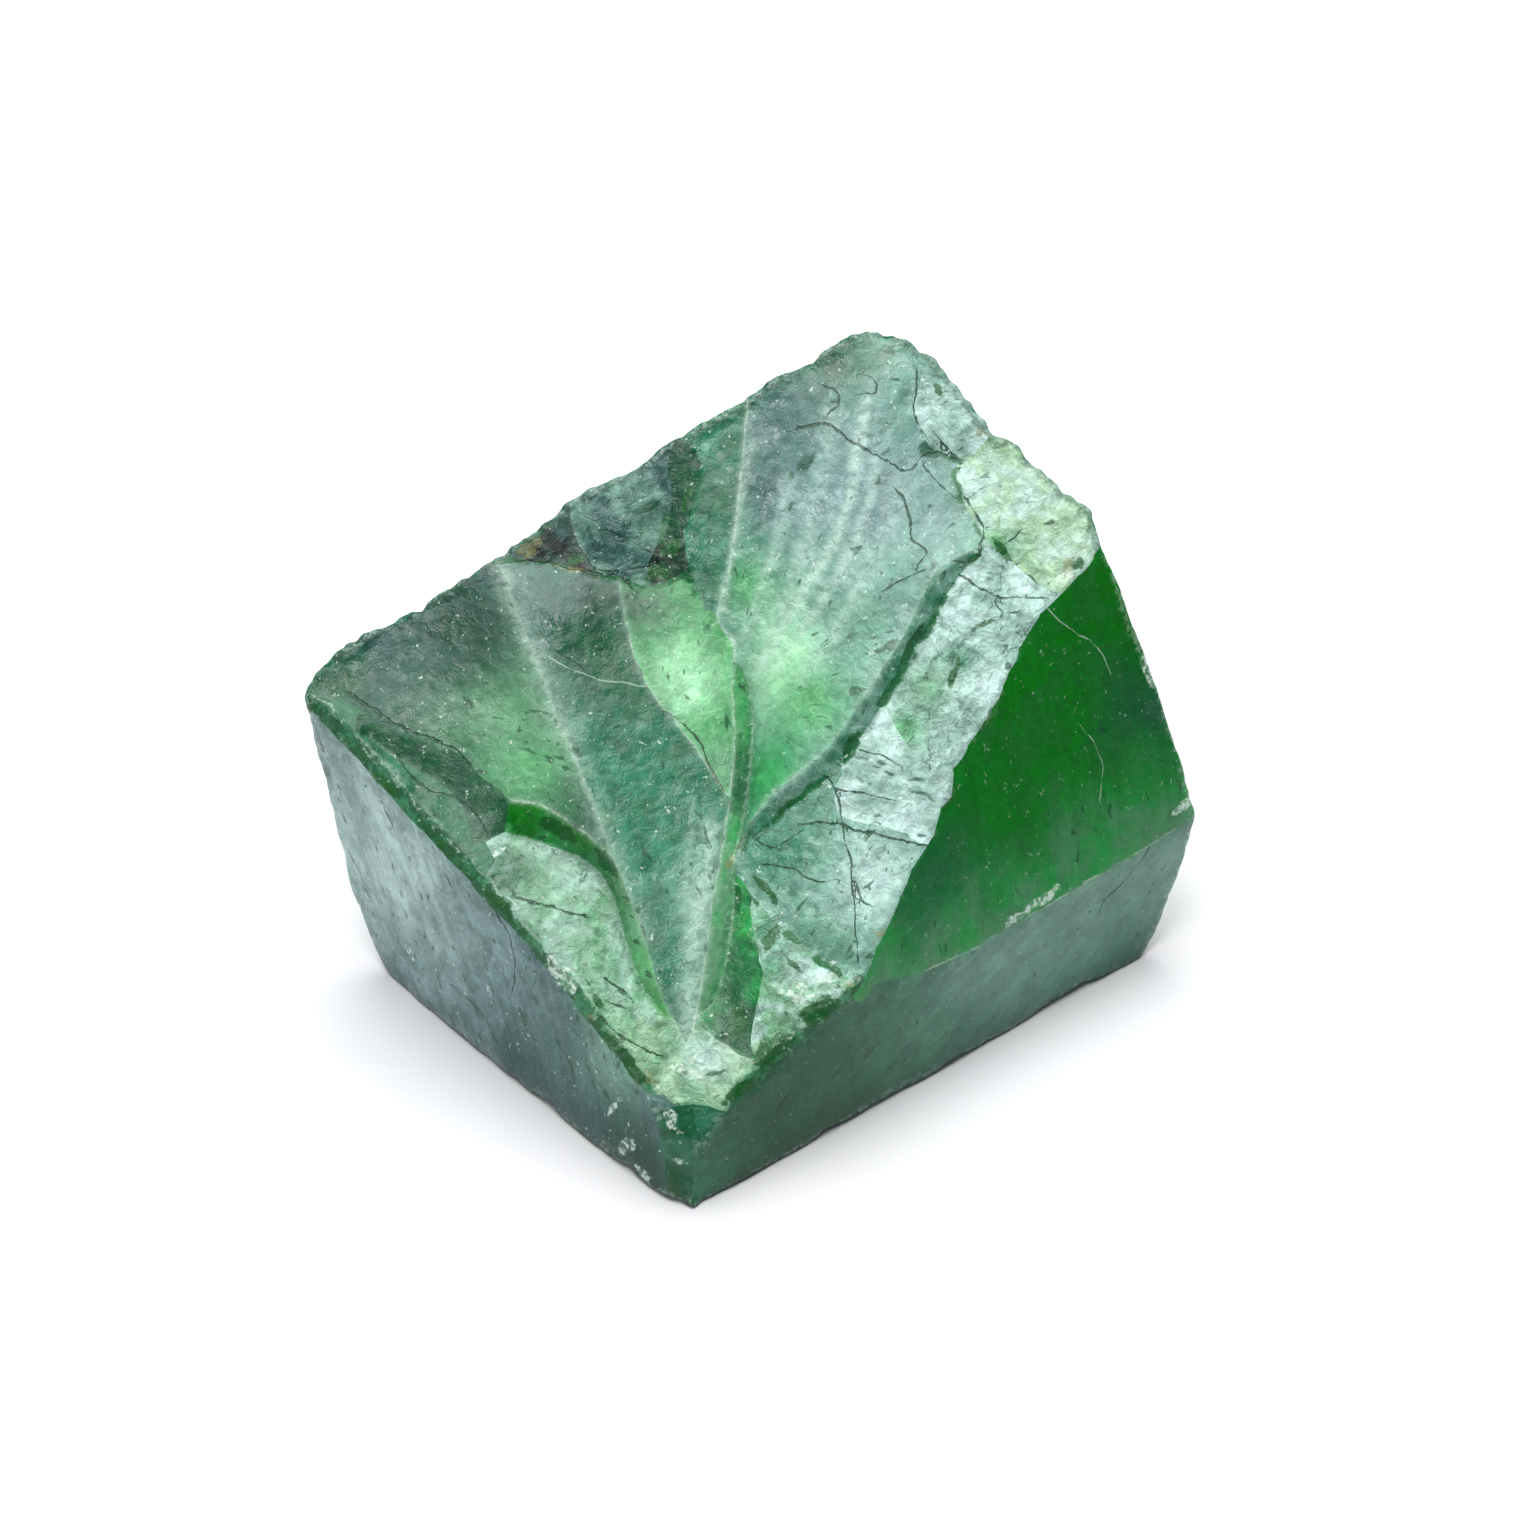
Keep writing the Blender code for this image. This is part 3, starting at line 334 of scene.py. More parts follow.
# Clear dark-green windows, pale chips and ochre stains: place, half length, half width and turn.
WINDOWS = {
    "scarp": [((8.3, 5.2), 2.3, 0.3, 64.0), ((4.8, -1.6), 1.8, 0.3, 58.0),
              ((0.6, -6.2), 1.1, 0.32, 40.0), ((-2.4, -8.6), 1.2, 0.35, 60.0)],
    "corner": [((14.4, 12.6), 1.7, 0.38, -58.0), ((19.6, 11.9), 0.7, 0.5, 20.0),
               ((16.6, 10.6), 1.2, 0.2, -50.0)],
    "scale_green": [((-8.6, 12.2), 1.0, 0.7, 40.0), ((-9.4, 10.4), 1.0, 0.8, 0.0),
                    ((-7.9, 15.6), 1.3, 0.3, 80.0)],
    "notch": [((-2.6, -12.8), 1.4, 0.4, 84.0), ((-2.0, -21.6), 1.3, 0.8, 80.0)],
    "kite": [((-0.7, -11.9), 1.5, 0.32, -50.0)],
    "step": [((-15.0, -8.7), 2.2, 0.45, -24.0), ((-11.4, -11.0), 1.8, 0.4, -45.0)],
    "break": [((-27.0, -6.2), 1.6, 0.4, -45.0), ((-22.4, -10.6), 1.2, 0.4, -45.0),
              ((-18.4, -14.4), 1.7, 0.35, -45.0), ((-10.0, -23.4), 1.3, 0.5, -45.0),
              ((-8.6, -25.2), 1.3, 0.5, -48.0), ((-1.4, -26.0), 1.2, 0.5, 40.0),
              ((0.5, -23.2), 2.0, 0.9, 42.0), ((3.2, -20.6), 1.6, 0.8, 42.0)],
    "scale_brown": [((-15.2, 10.9), 0.8, 0.5, 0.0)],
    "silver_upper": [((11.4, 3.6), 1.6, 0.3, 78.0), ((13.4, 7.4), 0.7, 0.25, 30.0)],
    "leaf": [((-0.2, -15.6), 1.3, 0.5, 70.0), ((1.6, -17.4), 0.8, 0.3, -40.0)],
    "apron": [((-11.2, -20.6), 1.0, 0.3, -45.0)],
    "crown": [((9.4, 24.4), 0.8, 0.3, -60.0)],
}
CHIPS = {
    "cleavage": [((10.5, 10.0), 2.2, 0.4, 3.0), ((7.4, 9.7), 1.0, 0.3, 0.0),
                 ((24.0, 20.6), 0.5, 1.3, 0.0), ((23.4, 11.4), 1.1, 0.35, 8.0)],
    "toe": [((-20.2, 5.6), 0.4, 1.1, 0.0), ((-20.3, 3.2), 0.5, 0.35, 0.0)],
    "corner": [((18.6, 10.9), 0.9, 0.4, 40.0)],
    "leaf": [((2.0, -19.4), 1.2, 0.8, 0.0), ((3.6, -18.2), 1.0, 0.5, 20.0)],
    "apron": [((-18.9, -10.7), 0.25, 0.9, -40.0), ((-13.9, -18.9), 1.4, 0.7, -45.0)],
    "toe_patch": [((-5.2, -25.0), 1.3, 0.35, -20.0)],
    "left_wall": [((-10.8, 2.2), 0.5, 1.0, 30.0), ((-9.2, 4.4), 0.25, 1.2, 20.0),
                  ((-12.6, 1.0), 0.9, 0.4, 0.0), ((12.0, 4.2), 0.9, 0.3, 60.0),
                  ((3.4, 6.4), 0.7, 0.2, 60.0)],
    "crown": [((7.6, 25.6), 0.8, 0.4, -30.0)],
}
STAINS = {
    "ditch": [((-3.2, -10.2), 0.9, 0.3, 70.0)],
    "toe_patch": [((-4.9, -24.2), 1.0, 0.5, 40.0)],
    "corner": [((19.8, 13.0), 0.8, 0.5, 60.0), ((18.8, 11.4), 0.5, 0.8, 0.0)],
    "kite": [((7.4, -14.9), 0.6, 0.4, 60.0)],
    "leaf": [((5.6, -18.2), 0.6, 0.4, 40.0)],
    "scale_brown": [((-18.4, 11.4), 1.4, 0.8, 30.0)],
    "break": [((-15.0, 10.0), 1.6, 0.25, -8.0), ((-7.6, -25.6), 0.8, 0.35, -45.0),
              ((-3.4, -26.6), 0.7, 0.3, 20.0)],
    "apron": [((-9.9, -23.2), 0.6, 0.25, -45.0), ((-11.6, -21.7), 0.5, 0.25, -45.0)],
    "crown": [((12.6, 21.4), 0.8, 0.4, 30.0)],
}


def smooth_curve(points, steps=8):
    """A smooth curve through the given points, as many short straight pieces."""
    points = np.array(points, dtype=float)
    padded = np.vstack([2 * points[0] - points[1], points, 2 * points[-1] - points[-2]])
    curve = []
    for a, b, c, d in zip(padded, padded[1:], padded[2:], padded[3:]):
        for t in np.arange(steps) / steps:
            curve.append(0.5 * (2 * b + (c - a) * t + (2 * a - 5 * b + 4 * c - d) * t ** 2
                                + (3 * b - a - 3 * c + d) * t ** 3))
    curve.append(points[-1])
    return np.array(curve)


def to_curve(places, curve):
    """For each place, the distance to the curve and the side of it that the place lies on."""
    best = np.full(len(places), 1e9)
    side = np.zeros(len(places))
    for a, b in zip(curve, curve[1:]):
        run = b - a
        arm = places - a
        t = np.clip(arm @ run / (run @ run), 0.0, 1.0)
        gap = np.hypot(*(arm - t[:, None] * run).T)
        nearer = gap < best
        best = np.where(nearer, gap, best)
        side = np.where(nearer, np.sign(run[0] * arm[:, 1] - run[1] * arm[:, 0]), side)
    return best, side


def inside(places, outline):
    """Which places lie inside a closed outline."""
    within = np.zeros(len(places), dtype=bool)
    for a, b in zip(outline, outline[1:]):
        spans = (a[1] > places[:, 1]) != (b[1] > places[:, 1])
        rise = b[1] - a[1] if b[1] != a[1] else 1e-9
        within ^= spans & (places[:, 0] < (b[0] - a[0]) * (places[:, 1] - a[1]) / rise + a[0])
    return within


# The break is mapped in small square cells, and each cell gets the number of its patch.
MAP_CELL = 0.125    # mm
MAP_START = np.array([-36.0, -31.0])
MAP_SIZE = (480, 512)
# How often every cell passes its number on: inside the patches, then over the creases.
PATCH_ROUNDS, CREASE_ROUNDS = 420, 6


def cell_of(places):
    """The map's cells that places on the break fall in."""
    return np.round((np.asarray(places) - MAP_START) / MAP_CELL).astype(int)


def spread(label, passable, rounds):
    """Lets every named cell of the map name its free neighbours, again and again."""
    for _ in range(rounds):
        for axis, shift in ((0, 1), (0, -1), (1, 1), (1, -1)):
            moved = np.roll(label, shift, axis=axis)
            label = np.where((label < 0) & passable & (moved >= 0), moved, label)
    return label


def break_map():
    """The map of the break, with creases as the walls between its patches."""
    free = np.ones(MAP_SIZE, dtype=bool)
    for path in list(CREASES.values()) + [RIM]:
        curve = smooth_curve(path, steps=64)
        cells = cell_of(np.vstack([curve[:-1], (curve[:-1] + curve[1:]) / 2]))
        free[cells[:, 0], cells[:, 1]] = False
    label = np.full(MAP_SIZE, -1)
    for number, name in enumerate(PATCH_NAMES):
        if name not in WALLS:
            label[tuple(cell_of(PATCHES[name][0]))] = number
    label = spread(label, free, PATCH_ROUNDS)
    return spread(label, np.ones_like(free), CREASE_ROUNDS)


LEAST_FACING, LEAST_LIFT = 0.2, -4.5    # a face of the break turns up this much and lies this high
TURN_COST = 9.0    # mm off a wall's plane that count as much as facing square to it


def name_patches(centres, normals):
    """The patch number of every face of the solid."""
    flat = drawn(centres)
    on_break = (inside(flat[:, :2], smooth_curve(RIM, steps=3)) & (normals @ OFF > LEAST_FACING)
                & (flat[:, 2] > LEAST_LIFT))
    cells = np.clip(cell_of(flat[:, :2]), 0, np.array(MAP_SIZE) - 1)
    patch = np.where(on_break, break_map()[cells[:, 0], cells[:, 1]], -1)
    best = np.full(len(centres), 1e9)
    wall = np.zeros(len(centres), dtype=int)
    for name, (facing, _) in WALLS.items():
        facing = np.array(facing) / np.linalg.norm(facing)
        miss = np.abs((centres - PATCHES[name][0]) @ facing) + TURN_COST * (1.0 - normals @ facing)
        wall = np.where(miss < best, PATCH_NAMES.index(name), wall)
        best = np.minimum(miss, best)
    cleavage, left, right, toe = (PATCH_NAMES.index(name) for name in
                                  ("cleavage", "left_wall", "right_wall", "toe"))
    x, y, z = centres.T
    in_front = (wall == cleavage) | (wall == right)
    wall[in_front] = np.where(z > np.interp(x, *zip(*CLEAVAGE_FOOT)), cleavage, right)[in_front]
    at_toe = (wall == left) | (wall == toe) | (wall == right)
    off_left = y < np.interp(z, *zip(*TOE_LEFT))
    off_right = x < np.interp(z, *zip(*TOE_RIGHT))
    wall[at_toe] = np.where(off_left & off_right, toe, np.where(off_left, right, left))[at_toe]
    return np.where(patch < 0, wall, patch)


def only(piece):
    """Makes a piece the one that operators act on."""
    bpy.ops.object.select_all(action="DESELECT")
    bpy.context.view_layer.objects.active = piece
    piece.select_set(True)


FIELDS = {"FLOAT_COLOR": "color", "FLOAT_VECTOR": "vector"}


def put(name, domain, values, kind="FLOAT"):
    """Stores values on the stone's mesh under a name."""
    layer = mesh.attributes.new(name, kind, domain)
    dtype = np.int32 if kind == "INT" else np.float32
    layer.data.foreach_set(FIELDS.get(kind, "value"), np.asarray(values, dtype=dtype).ravel())


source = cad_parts[NODE]
stone = bpy.data.objects.new("raw_emerald", source.data.copy())
stone.data.materials.clear()
bpy.context.scene.collection.objects.link(stone)
only(stone)
bpy.ops.object.mode_set(mode="EDIT")
bpy.ops.mesh.select_all(action="SELECT")
bpy.ops.mesh.remove_doubles(threshold=JOIN_GAP)
bpy.ops.object.mode_set(mode="OBJECT")

mesh = stone.data
centres = np.array([face.center for face in mesh.polygons]) / MM
normals = np.array([face.normal for face in mesh.polygons])
put("patch", "FACE", name_patches(centres, normals), "INT")
faces_of_edge = {}
for face in mesh.polygons:
    for key in face.edge_keys:
        faces_of_edge.setdefault(key, []).append(face.index)
crease = []
for edge in mesh.edges:
    f, g = faces_of_edge[edge.key]
    angle = math.acos(min(1.0, max(-1.0, float(normals[f] @ normals[g]))))
    sharp = min(max((angle - SOFT_ANGLE) / (SHARP_ANGLE - SOFT_ANGLE), 0.0), 1.0)
    ends = [mesh.vertices[end].co / MM for end in edge.vertices]
    top = max(end.z for end in ends)
    at_toe = top < TOE_HEIGHT and min((end - TOE_FOOT).length for end in ends) < TOE_REACH
    crease.append(sharp * (WORN_CREASE if top < FOOT_HEIGHT or at_toe else FULL_CREASE))
put("crease_edge", "EDGE", crease)

finer = stone.modifiers.new("finer", "SUBSURF")
finer.levels = FINE_LEVELS
finer.render_levels = FINE_LEVELS
only(stone)
bpy.ops.object.modifier_apply(modifier="finer")

count = len(mesh.vertices)
spots = np.empty(count * 3)
mesh.vertices.foreach_get("co", spots)
spots = spots.reshape(-1, 3) / MM
patch = np.empty(len(mesh.polygons), dtype=np.int32)
mesh.attributes["patch"].data.foreach_get("value", patch)
loop_vertex = np.empty(len(mesh.loops), dtype=np.int32)
mesh.loops.foreach_get("vertex_index", loop_vertex)
loop_patch = np.repeat(patch, [face.loop_total for face in mesh.polygons])
edge_ends = np.empty(len(mesh.edges) * 2, dtype=np.int32)
mesh.edges.foreach_get("vertices", edge_ends)
edge_ends = edge_ends.reshape(-1, 2)
links_at = np.bincount(edge_ends.ravel(), minlength=count)


def neighbour_mean(values):
    """The mean over each vertex's neighbours."""
    total = np.zeros_like(values)
    np.add.at(total, edge_ends[:, 0], values[edge_ends[:, 1]])
    np.add.at(total, edge_ends[:, 1], values[edge_ends[:, 0]])
    return total / (links_at if values.ndim == 1 else links_at[:, None])


def vertex_normals():
    """The way each vertex faces."""
    ways = np.empty(count * 3)
    mesh.vertex_normals.foreach_get("vector", ways)
    return ways.reshape(-1, 3)


def patch_column(column):
    """One column of the patch table, averaged over the patches that meet at each vertex."""
    table = np.array([PATCHES[name][column] for name in PATCH_NAMES], dtype=float)
    total = np.bincount(loop_vertex, weights=table[loop_patch], minlength=count)
    return total / np.bincount(loop_vertex, minlength=count)


# ---- Relief: soft waves, small scooped chips and a fine grain ------------------------------------
WAVE, CHIP, GRAIN = 3.2, 1.7, 0.7    # mm from crest to crest
WAVE_RISE, CHIP_DEPTH, GRAIN_RISE = 1.1, 1.3, 0.6    # as shares of a patch's relief
CHIP_STEEPNESS = 1.6
RIM_REACH = 1.0    # mm, how far in from a rim its chips reach
RIM_RELIEF = ((BACK_RIM, 0.30), (LEFT_RIM, 0.10), (FRONT_RIM, 0.10))    # mm
RIM_LIFT = 2.5    # mm, skin further than this off the break isn't at its rim
BOX_MARGIN = 0.002    # mm, kept clear inside the solid's own box
amount = patch_column(3)
flat = drawn(spots)
at_break = np.abs(flat[:, 2]) < RIM_LIFT
for rim, relief in RIM_RELIEF:
    gap = to_curve(flat[:, :2], smooth_curve(rim))[0]
    amount = np.maximum(amount, at_break * relief * np.exp(-(gap / RIM_REACH) ** 2))
ways = vertex_normals()
height = np.empty(count)
for number, spot in enumerate(spots.tolist()):
    spot = Vector(spot)
    scoop = 1.0 - min(1.0, CHIP_STEEPNESS * noise.voronoi(spot / CHIP)[0][0])
    height[number] = (WAVE_RISE * noise.noise(spot / WAVE) - CHIP_DEPTH * scoop ** 2
                      + GRAIN_RISE * noise.noise(spot / GRAIN))
spots = spots + ways * (amount * height)[:, None]
low, high = (np.array(corner) / MM for corner in cad_box)
spots = np.clip(spots, low + BOX_MARGIN, high - BOX_MARGIN)
mesh.vertices.foreach_set("co", (spots * MM).ravel())
mesh.update()

# ---- Worn edges, whose pale mark is partly painted highlight, and sunk corners, which get painted shade ---
WORN_BULGE, SUNK_BULGE = 0.024, 0.018    # mm, fully worn and fully sunk
BULGE_ROUNDS = 6    # how often it is evened out over the skin round it
ways = vertex_normals()
bulge = ((spots - neighbour_mean(spots)) * ways).sum(axis=1)
for _ in range(BULGE_ROUNDS):
    bulge = 0.5 * bulge + 0.5 * neighbour_mean(bulge)
put("worn", "POINT", np.clip(bulge / WORN_BULGE, 0.0, 1.0))
put("sunk", "POINT", np.clip(-bulge / SUNK_BULGE, 0.0, 1.0))

# ---- Cracks, parted and worn creases -------------------------------------------------------------
DRIFT_PITCH, DRIFT = 1.3, 0.16    # mm, how a drawn line strays from its course
FAR_LINE, FAR_GAP = 50.0, 9.0    # for skin with no crack near it, in half widths and in mm
flat = drawn(spots)[:, :2]
drift = DRIFT * np.array([noise.noise_vector(Vector(spot) / DRIFT_PITCH)[:2]
                          for spot in spots.tolist()])
touches = np.zeros((len(PATCH_NAMES), count), dtype=bool)
touches[loop_patch, loop_vertex] = True
WALL_NUMBERS = [PATCH_NAMES.index(name) for name in WALLS]
on_break = np.delete(touches, WALL_NUMBERS, axis=0).any(axis=0)


def plan_of(skin):
    """The vertices of the break or of one wall, and where they lie in its drawing."""
    if skin not in WALLS:
        return on_break, flat
    across, up = WALLS[skin][1]
    return touches[PATCH_NAMES.index(skin)], spots[:, [across, up]]


def crack_lines(cracks):
    """Signed and plain distance to the nearest crack, in half widths and in mm."""
    signed = np.full(count, FAR_LINE)
    gap = np.full(count, FAR_GAP)
    for skin, paths in cracks.items():
        here, plan = plan_of(skin)
        for half_width, path in paths:
            distance, side = to_curve(plan[here] + drift[here], smooth_curve(path, steps=4))
            picked = distance < gap[here]
            nearer = np.flatnonzero(here)[picked]
            gap[nearer] = distance[picked]
            signed[nearer] = (distance * side)[picked] / half_width
    return signed, gap


for name, cracks in (("crack", CRACKS), ("pale_crack", PALE_CRACKS)):
    signed, gap = crack_lines(cracks)
    put(name, "POINT", signed)
    put(name + "_gap", "POINT", gap)


def crease_lines(strengths, reach, straying):
    """How strongly each vertex lies on the named creases."""
    line = np.zeros(count)
    for name, strength in strengths.items():
        distance = to_curve(flat + drift * straying, smooth_curve(CREASES[name]))[0]
        line = np.maximum(line, on_break * strength * np.clip(1.0 - distance / reach, 0.0, 1.0))
    return line


worn_and_lit_crease = crease_lines(WORN_AND_LIT_CREASES, reach=0.30, straying=0.0)
dark_crease = crease_lines(DARK_CREASES, reach=0.36, straying=2.0)
streak = np.zeros(count)
for half_width, strength, path in STREAKS:
    distance = to_curve(flat + drift, smooth_curve(path, steps=4))[0]
    streak = np.maximum(streak, on_break * strength * np.exp(-(distance / half_width) ** 2))
for name, values in (("streak", streak), ("worn_and_lit_crease", worn_and_lit_crease),
                     ("dark_crease", dark_crease)):
    put(name, "POINT", values)

OUTSIDE = -2.0    # the depth given to skin well outside every oval and band
BLOT_STRAYING, FLAKE_STRAYING = 1.5, 2.5


def blots(table):
    """How far inside one of the listed ovals each vertex lies: 1 in its middle, 0 on its edge."""
    depth = np.full(count, OUTSIDE)
    for skin, ovals in table.items():
        here, plan = plan_of(skin)
        if skin in PATCHES:
            here = here & touches[PATCH_NAMES.index(skin)]
        for place, half_length, half_width, turn in ovals:
            c, s = math.cos(math.radians(turn)), math.sin(math.radians(turn))
            arm = plan + drift * BLOT_STRAYING - np.array(place)
            along = (arm[:, 0] * c + arm[:, 1] * s) / half_length
            across = (arm[:, 1] * c - arm[:, 0] * s) / half_width
            depth = np.where(here, np.maximum(depth, 1.0 - np.hypot(along, across)), depth)
    return depth


for name, table in (("window", WINDOWS), ("chip", CHIPS), ("stain", STAINS)):
    put(name, "POINT", blots(table))

# The band where the front rims have flaked, and the band of painted shade along the back rims.
corner_on_break = ~np.isin(loop_patch, WALL_NUMBERS)
for name, rims, width, straying in (("flaked", (LEFT_RIM, FRONT_RIM), FLAKE_WIDTH, FLAKE_STRAYING),
                                    ("back_rim_shade", (BACK_RIM,), BACK_WIDTH, 1.0)):
    gap = np.min([to_curve(flat + drift * straying, smooth_curve(rim))[0] for rim in rims], axis=0)
    depth = np.where(corner_on_break, 1.0 - (gap / width)[loop_vertex], OUTSIDE)
    put(name, "CORNER", np.maximum(depth, OUTSIDE))


# ---- Tint, look and grain of every patch, laid down per face corner ------------------------------
def linear(name):
    """A named tint as the amounts of light that a shader works with."""
    share = np.array(TINTS[name]) / 255.0
    return np.where(share <= 0.04045, share / 12.92, ((share + 0.055) / 1.055) ** 2.4)


WANDER_PITCH = 3.5    # mm, how far apart the pools' edges wander in and out
POOL_WANDER = 0.35    # how far they do so, as a share of the pool's reach
POOL_CLOUDS = 0.6    # how much of a pool the clouds over it keep
FOOT_BAND = 0.9    # how much the cleavage pales at its foot
FOOT_BAND_REACH, FOOT_BAND_WANDER = 4.2, 2.0    # mm up from there, and how unevenly
FOOT_SHADE, FOOT_SHADE_REACH = 0.5, 0.9    # share lost at the foot, and how high up it reaches, mm
FAN_POLE = (-3.5, 1.5)    # the fan's streaks meet here
FAN_CALM, FAN_LEAST = 9.0, 0.2    # nearer than this, mm, they fade to this share
FAN_SPREAD = 9.0    # mm of grain to a turn of one radian about the pole
GRAIN_SHIFT = 7.3    # sets each patch's flecks apart from the next one's
FULL_RELIEF, LEAST_RUGGED = 0.18, 0.04    # mm of relief on a fully rugged skin, and the least share
corner_spots = spots[loop_vertex]
corner_flat = drawn(corner_spots)[:, :2]
wander = np.array([noise.noise_vector(Vector(spot) / WANDER_PITCH)
                   for spot in spots.tolist()])[loop_vertex]
tone, clouded = (np.array([linear(PATCHES[name][column]) for name in PATCH_NAMES])[loop_patch]
                 for column in (1, 2))


def tinge(here, share, tint, cloud_tint):
    """Blends tints into the tone and the clouds of some face corners."""
    tone[here] = tone[here] * (1.0 - share) + linear(tint) * share
    share = share * POOL_CLOUDS
    clouded[here] = clouded[here] * (1.0 - share) + linear(cloud_tint) * share


# Painted glows, sheen and shade, and darker tone, laid into each patch.
for name, pools in PAINTED_LIGHT_AND_TONE_POOLS.items():
    here = loop_patch == PATCH_NAMES.index(name)
    for place, reach, tint in pools:
        plan = corner_flat if len(place) == 2 else corner_spots
        arm = plan[here] + wander[here, :len(place)] * POOL_WANDER * reach - place
        tinge(here, np.exp(-(arm ** 2).sum(axis=1) / reach ** 2)[:, None], tint, tint)
at_cleavage = loop_patch == PATCH_NAMES.index("cleavage")
x, _, z = corner_spots[at_cleavage].T
above = z - np.interp(x, *zip(*CLEAVAGE_FOOT)) + wander[at_cleavage, 0] * FOOT_BAND_WANDER
band = FOOT_BAND * np.exp(-(np.maximum(above, 0.0) / FOOT_BAND_REACH) ** 2)
tinge(at_cleavage, band[:, None], "fern", "sage")
low_down = np.exp(-corner_spots[:, 2] / FOOT_SHADE_REACH) * FOOT_SHADE
solid = np.ones((len(loop_patch), 1))
for name, colours in (("tone", tone), ("clouded", clouded)):
    colours = np.hstack([colours * (1.0 - low_down)[:, None], solid])
    put(name, "CORNER", colours, "FLOAT_COLOR")

look = np.array([PATCHES[name][5:9] for name in PATCH_NAMES])[loop_patch]
look[at_cleavage, 3] += band * POOL_CLOUDS
on_fan = loop_patch == PATCH_NAMES.index("fan")
from_pole = np.hypot(*(corner_flat - np.array(FAN_POLE)).T)
look[on_fan, 1:3] *= np.clip(from_pole[on_fan] / FAN_CALM, FAN_LEAST, 1.0)[:, None]
put("look", "CORNER", look, "FLOAT_COLOR")
put("rugged", "POINT", np.clip(amount / FULL_RELIEF, LEAST_RUGGED, 1.0))

flow = np.zeros((len(loop_vertex), 3))
for number, name in enumerate(PATCH_NAMES):
    here = loop_patch == number
    plan = corner_spots[here][:, list(WALLS[name][1])] if name in WALLS else corner_flat[here]
    if name == "fan":
        arm = plan - np.array(FAN_POLE)
        flow[here, 0] = np.hypot(arm[:, 0], arm[:, 1])
        flow[here, 1] = np.arctan2(arm[:, 1], arm[:, 0]) * FAN_SPREAD
    else:
        turn = math.radians(PATCHES[name][4])
        flow[here, 0] = plan @ np.array([math.cos(turn), math.sin(turn)])
        flow[here, 1] = plan @ np.array([-math.sin(turn), math.cos(turn)])
    flow[here, 2] = number * GRAIN_SHIFT
put("flow", "CORNER", flow, "FLOAT_VECTOR")


# ---- The stone's material ------------------------------------------------------------------------
def node(kind, inputs, **settings):
    """Adds a shader node beside those that it is linked from, with its other inputs set."""
    linked = {name: value for name, value in inputs.items()
              if isinstance(value, bpy.types.NodeSocket)}
    tree = list(linked.values())[0].id_data
    made = tree.nodes.new("ShaderNode" + kind)
    for name, value in settings.items():
        setattr(made, name, value)
    for name, value in inputs.items():
        if name in linked:
            tree.links.new(value, made.inputs[name])
        else:
            made.inputs[name].default_value = value
    return made.outputs


def calc(kind, *values, clamp=False):
    """One step of arithmetic."""
    return node("Math", dict(enumerate(values)), operation=kind, use_clamp=clamp)[0]


def plus(a, b):
    """Two values added."""
    return calc("ADD", a, b)


def times(a, b, clamp=False):
    """Two values multiplied."""
    return calc("MULTIPLY", a, b, clamp=clamp)


def vector_calc(kind, a, b):
    """One step of arithmetic on a place or a colour."""
    return node("VectorMath", {0: a, "Scale" if kind == "SCALE" else 1: b}, operation=kind)[0]


def ramp(value, start, end, to_start=0.0, to_end=1.0):
    """A value brought smoothly from one range into another."""
    return node("MapRange", {"Value": value, "From Min": start, "From Max": end,
                             "To Min": to_start, "To Max": to_end},
                interpolation_type="SMOOTHSTEP")["Result"]


def haze(place, scale, detail=2.0, roughness=0.5, distortion=0.0, gives="Fac"):
    """Soft noise, with about so many lumps to a unit of the place's own measure."""
    return node("TexNoise", {"Vector": place, "Scale": scale, "Detail": detail,
                             "Roughness": roughness, "Distortion": distortion})[gives]


def group(name, takes, gives):
    """An empty node group, its inputs, and its one output, which is a plain value."""
    tree = bpy.data.node_groups.new(name, "ShaderNodeTree")
    for title, kind in takes.items():
        tree.interface.new_socket(title, in_out="INPUT", socket_type="NodeSocket" + kind)
    tree.interface.new_socket(gives, in_out="OUTPUT", socket_type="NodeSocketFloat")
    taken = tree.nodes.new("NodeGroupInput").outputs
    return tree, taken, tree.nodes.new("NodeGroupOutput").inputs[gives]


def use(made, **inputs):
    """Places a node group and returns its output."""
    return node("Group", inputs, node_tree=made)[0]


# Flecks: short dark dashes along the grain, more of them where Amount is high.
FLECK_SIZE, FLECK_EDGE = 0.36, 9.0    # in cells, and how crisp its edge is
flecks, taken, given = group("Flecks", {"Flow": "Vector", "Cell": "Float", "Stretch": "Float",
                                        "Amount": "Float"}, "Mask")
x, y, z = node("SeparateXYZ", {0: taken["Flow"]})
x = calc("DIVIDE", x, times(taken["Cell"], taken["Stretch"]))
placed = node("CombineXYZ", {0: x, 1: calc("DIVIDE", y, taken["Cell"]), 2: z})[0]
bends = vector_calc("MULTIPLY", haze(placed, 1.1, detail=1.0, gives="Color"), (1.6, 1.6, 0.0))
cells = node("TexVoronoi", {"Vector": vector_calc("ADD", placed, bends), "Scale": 1.0})
chosen = node("SeparateColor", {0: cells["Color"]})
size = times(times(chosen[0], FLECK_SIZE), calc("LESS_THAN", chosen[1], taken["Amount"]))
flecks.links.new(times(calc("SUBTRACT", size, cells["Distance"]), FLECK_EDGE, clamp=True), given)

